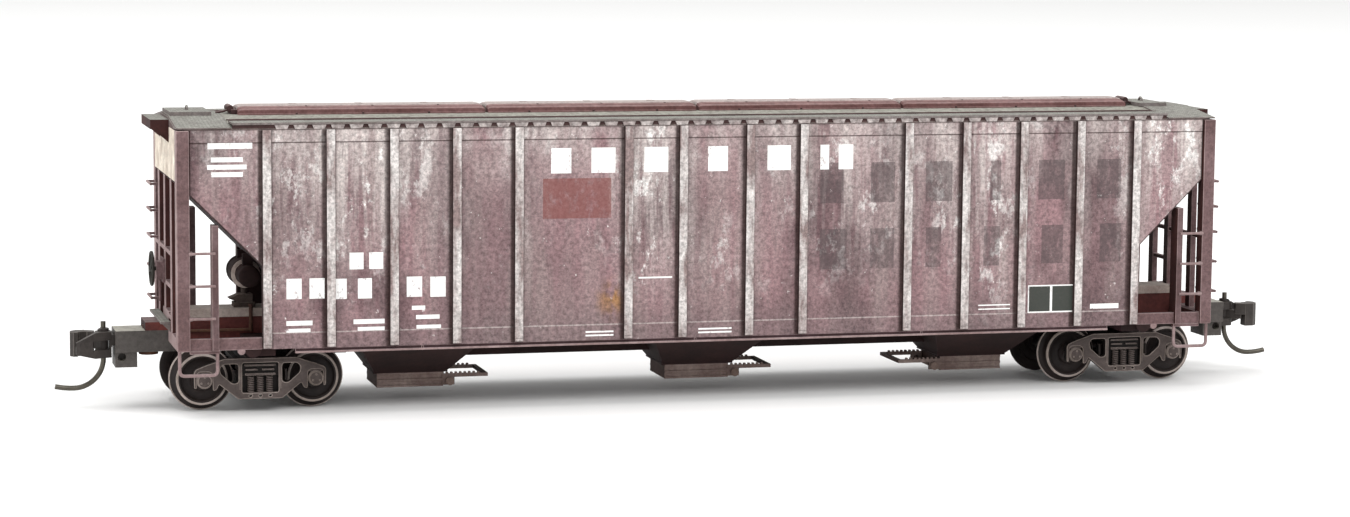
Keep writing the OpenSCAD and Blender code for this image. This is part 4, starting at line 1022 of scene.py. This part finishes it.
wheel = {
    # radius, distance from the wheel's back face, and 1 on the rim, worn and painted pale as a highlight: a flanged
    # wheel with a dished plate
    "profile": [(0.6, -0.15, 0), (1.05, -0.15, 0), (1.12, 0.0, 0), (1.3, 0.25, 0), (1.95, 0.25, 0), (2.04, 0.05, 0),
                (2.1, 0.0, 0), (2.96, 0.0, 0), (3.07, 0.05, 0), (3.1, 0.14, 1), (3.08, 0.24, 1), (2.98, 0.32, 0),
                (2.86, 0.37, 0), (2.62, 0.47, 0), (2.55, 0.58, 0), (2.5, 1.28, 1), (2.47, 1.36, 1), (2.42, 1.4, 1),
                (2.27, 1.4, 0), (2.12, 1.4, 0), (2.05, 1.34, 0), (1.98, 1.1, 0), (1.8, 1.02, 0), (1.3, 0.96, 0),
                (1.14, 1.06, 0), (1.06, 1.34, 0), (1.0, 1.4, 0), (0.6, 1.4, 0)],
    "width": 1.4, "steps": 96,
}


def makeWheels():
    # The profile turned about each axle's line, with its back face towards the middle of the car.
    rows, steps = np.array(wheel["profile"]), wheel["steps"]
    slots = np.tile(np.concatenate([np.repeat(rows[:-1, 2], steps), [0, 0]]), 2)
    for number in ("a1", "a2", "b1", "b2"):
        low, high = boxOf(f"wheels_{number}")
        middle = (low + high) / 2
        profile = rows[:, :2] + (0, high[1] - wheel["width"])
        pair = bothSides([lathe(profile, (middle[0], 0, middle[2]), 1, steps)])
        piece = pieceFrom(f"wheels_{number}_pair", *joined(pair), slots=slots)
        finishPiece(piece, "wheel wheelRim", f"wheelset_{number}", [f"wheels_{number}"])


truck = {
    # half of a side frame's outline in x and z from the truck's middle, its window, and the spring nest's opening
    "outline": [(2.1, 1.35), (3.95, 2.85), (4.2, 2.3), (4.55, 2.25), (4.6, 3.85), (4.85, 4.08), (5.85, 4.08),
                (6.05, 3.85), (6.08, 2.5), (6.32, 2.5), (6.35, 4.05), (6.15, 4.35), (5.2, 4.72), (4.3, 5.0), (3.5, 5.3)],
    "window": [(2.1, 2.95), (2.65, 2.85), (3.8, 3.85), (3.88, 4.4), (3.55, 4.76), (2.1, 4.76)],
    "nest": [(-1.75, 1.95), (1.75, 1.95), (1.75, 4.85), (-1.75, 4.85)],
    "holes": (-0.95, 0, 0.95), "holeHeight": 1.66, "holeSize": (0.14, 0.11),
    "frameLow": 6.3, "frameHigh": 7.1, "edge": 0.07,
    # boxes as low x, y, z and high x, y, z. Once in a truck: the bolster. On both sides: the spring plank, the nest's
    # walls and its bars. At both ends, lengthwise: the brake beam and the bolster's flange.
    "bolster": (-1.3, -6.35, 3.95, 1.3, 6.35, 5.3), "plank": (-1.75, 1.0, 1.75, 1.75, 6.4, 2.2),
    "beams": [(1.6, -4.3, 2.1, 1.95, 4.3, 3.2), (1.3, -6.3, 3.95, 1.75, 6.3, 4.35)],
    "walls": [(-1.8, 6.35, 3.6, 1.8, 6.72, 4.9), (-1.8, 6.35, 1.9, 1.8, 6.45, 3.7),
              (-1.75, 6.45, 1.88, 1.75, 7.05, 1.99)],
    "bars": [(-1.5, 6.7, 4.52, 1.5, 7.04, 4.68), (-1.4, 6.7, 4.1, -0.25, 7.04, 4.24),
             (0.2, 6.7, 4.1, 1.35, 7.04, 4.24), (-1.45, 6.7, 3.62, 1.45, 7.04, 3.82)],
    # at every corner: brake shoe and wear plate, guide strip, and the axle box with its cap and three bolts
    "shoes": [(1.5, 4.2, 2.7, 1.95, 5.15, 3.95), (2.45, 6.0, 3.0, 2.62, 6.6, 4.1)],
    "guide": (1.89, 7.05, 2.3, 2.01, 7.15, 4.75), "axleBox": (4.73, 6.35, 3.86, 5.97, 7.05, 4.15),
    "capAt": (5.35, 3.22), "boltCircle": 0.38, "bolt": [(0.11, 7.25), (0.12, 7.4), (0.08, 7.45)],
    "cap": [(0.3, 6.2), (0.74, 6.2), (0.76, 6.3), (0.76, 7.12), (0.7, 7.2), (0.62, 7.22), (0.6, 7.3), (0.52, 7.36),
            (0.3, 7.4), (0.22, 7.46), (0.05, 7.47)],
    "springX": (-0.9, 0, 0.9), "springY": 6.78, "springLow": 2.02, "springHigh": 3.55, "coil": 0.26, "wire": 0.085,
    "turns": 7, "turnSteps": 14,
}


def springPath(x, y, spring):
    # A helix: x + coil cos a, y + coil sin a, rising evenly from springLow to springHigh over its turns.
    share = np.linspace(0, 1, spring["turns"] * spring["turnSteps"] + 1)
    angle = 2 * np.pi * spring["turns"] * share
    rise = spring["springLow"] + share * (spring["springHigh"] - spring["springLow"])
    return np.stack([x + spring["coil"] * np.cos(angle), y + spring["coil"] * np.sin(angle), rise], 1)


def markEdges(mesh):
    # The rounded rim of a cut plate takes the second paint, a painted highlight, and the walls of its cuts the third,
    # painted shade, by how far they face along Y.
    normals = np.zeros(len(mesh.polygons) * 3)
    mesh.polygons.foreach_get("normal", normals)
    facing = np.abs(normals.reshape(-1, 3)[:, 1])
    chosen = np.where(facing > 0.97, 0, np.where(facing > 0.2, 1, 2))
    mesh.polygons.foreach_set("material_index", chosen.astype(int))


def sideFrame():
    # The outline is mirrored, its corners rounded, and the window, nest and drain holes are cut from it.
    half, window = np.array(truck["outline"]), np.array(truck["window"])
    outline = rounded(np.concatenate([half, (half * (-1, 1))[::-1]]), 0.16)
    turn = 2 * np.pi * np.arange(12) / 12
    circle = np.column_stack([np.cos(turn), np.sin(turn)]) * truck["holeSize"]
    holes = [circle + (x, truck["holeHeight"]) for x in truck["holes"]]
    loops = [outline, rounded(window, 0.3), rounded(window * (-1, 1), 0.3), rounded(truck["nest"], 0.2)] + holes
    return plate(loops, truck["frameLow"], truck["frameHigh"], truck["edge"])


def axleEnd():
    # The axle box and cap of one corner, its bolts evenly round a circle.
    x, z = truck["capAt"]
    parts = [lathe(truck["cap"], (x, 0, z), 1, 40), boxes(truck["axleBox"])]
    for angle in np.radians((90, 210, 330)):
        at = (x + truck["boltCircle"] * np.cos(angle), 0, z + truck["boltCircle"] * np.sin(angle))
        parts.append(lathe(truck["bolt"], at, 1, 6))
    return parts


def makeTrucks():
    # One truck's parts are made once, and a copy of each is moved to each end of the car.
    frames = bothSides([sideFrame()])
    core = [boxes(truck["bolster"])] + bothSides([boxes(truck["plank"])]) + bothSides([boxes(truck["beams"])], 0)
    core += bothSides([boxes(truck["walls"])] + bothSides([boxes(truck["shoes"])], 0))
    fittings = bothSides(bothSides(axleEnd() + [boxes(truck["guide"])], 0) + [boxes(truck["bars"])])
    paths = [springPath(x, truck["springY"], truck) for x in truck["springX"]]
    springs = bothSides([tube(path, truck["wire"], 6, (0, 0, 1)) for path in paths])
    rows = [
        # name, parts, paints, nodes, edge width and segments, edge paint
        ("truckSides", frames, "truck truckEdge truckDark", ["truck_frame_"], 0, 2, None),
        ("truckBolster", core, "truckDark", [], 0.04, 2, "truck"),
        ("journalCaps", fittings, "truck", [], 0.03, 1, "truckEdge"),
        ("truckSprings", springs, "truck", [], 0, 2, None),
    ]
    for end, place in truckPlace.items():
        for name, parts, names, nodes, width, segments, rub in rows:
            piece = pieceFrom(f"{name}_{end}", *moved(joined(parts), (place, 0, 0)))
            finishPiece(piece, names, f"truck_{end}", [node + end for node in nodes], width, segments, rub)
            if name == "truckSides":
                markEdges(piece.data)


def makeFloor():
    # A wide slab whose top is at the wheels' lowest point.
    floor = pieceFrom("studioFloor", *boxes([-3000, -3000, -5, 3000, 3000, 0]))
    floor.data.materials.append(paints["floor"])


makeCamera(cameraSetup)
makeLights(lightSetup)
makeBody()
makeMarks()
print("body and marks made")
makeHatches()
makeBoards()
print("roof made")
makeCopies()
makeCouplers()
makeLadders()
makeUnderTrim()
makeTank()
print("copies and under trim made")
makeWheels()
makeTrucks()
print("trucks made")
makeFloor()
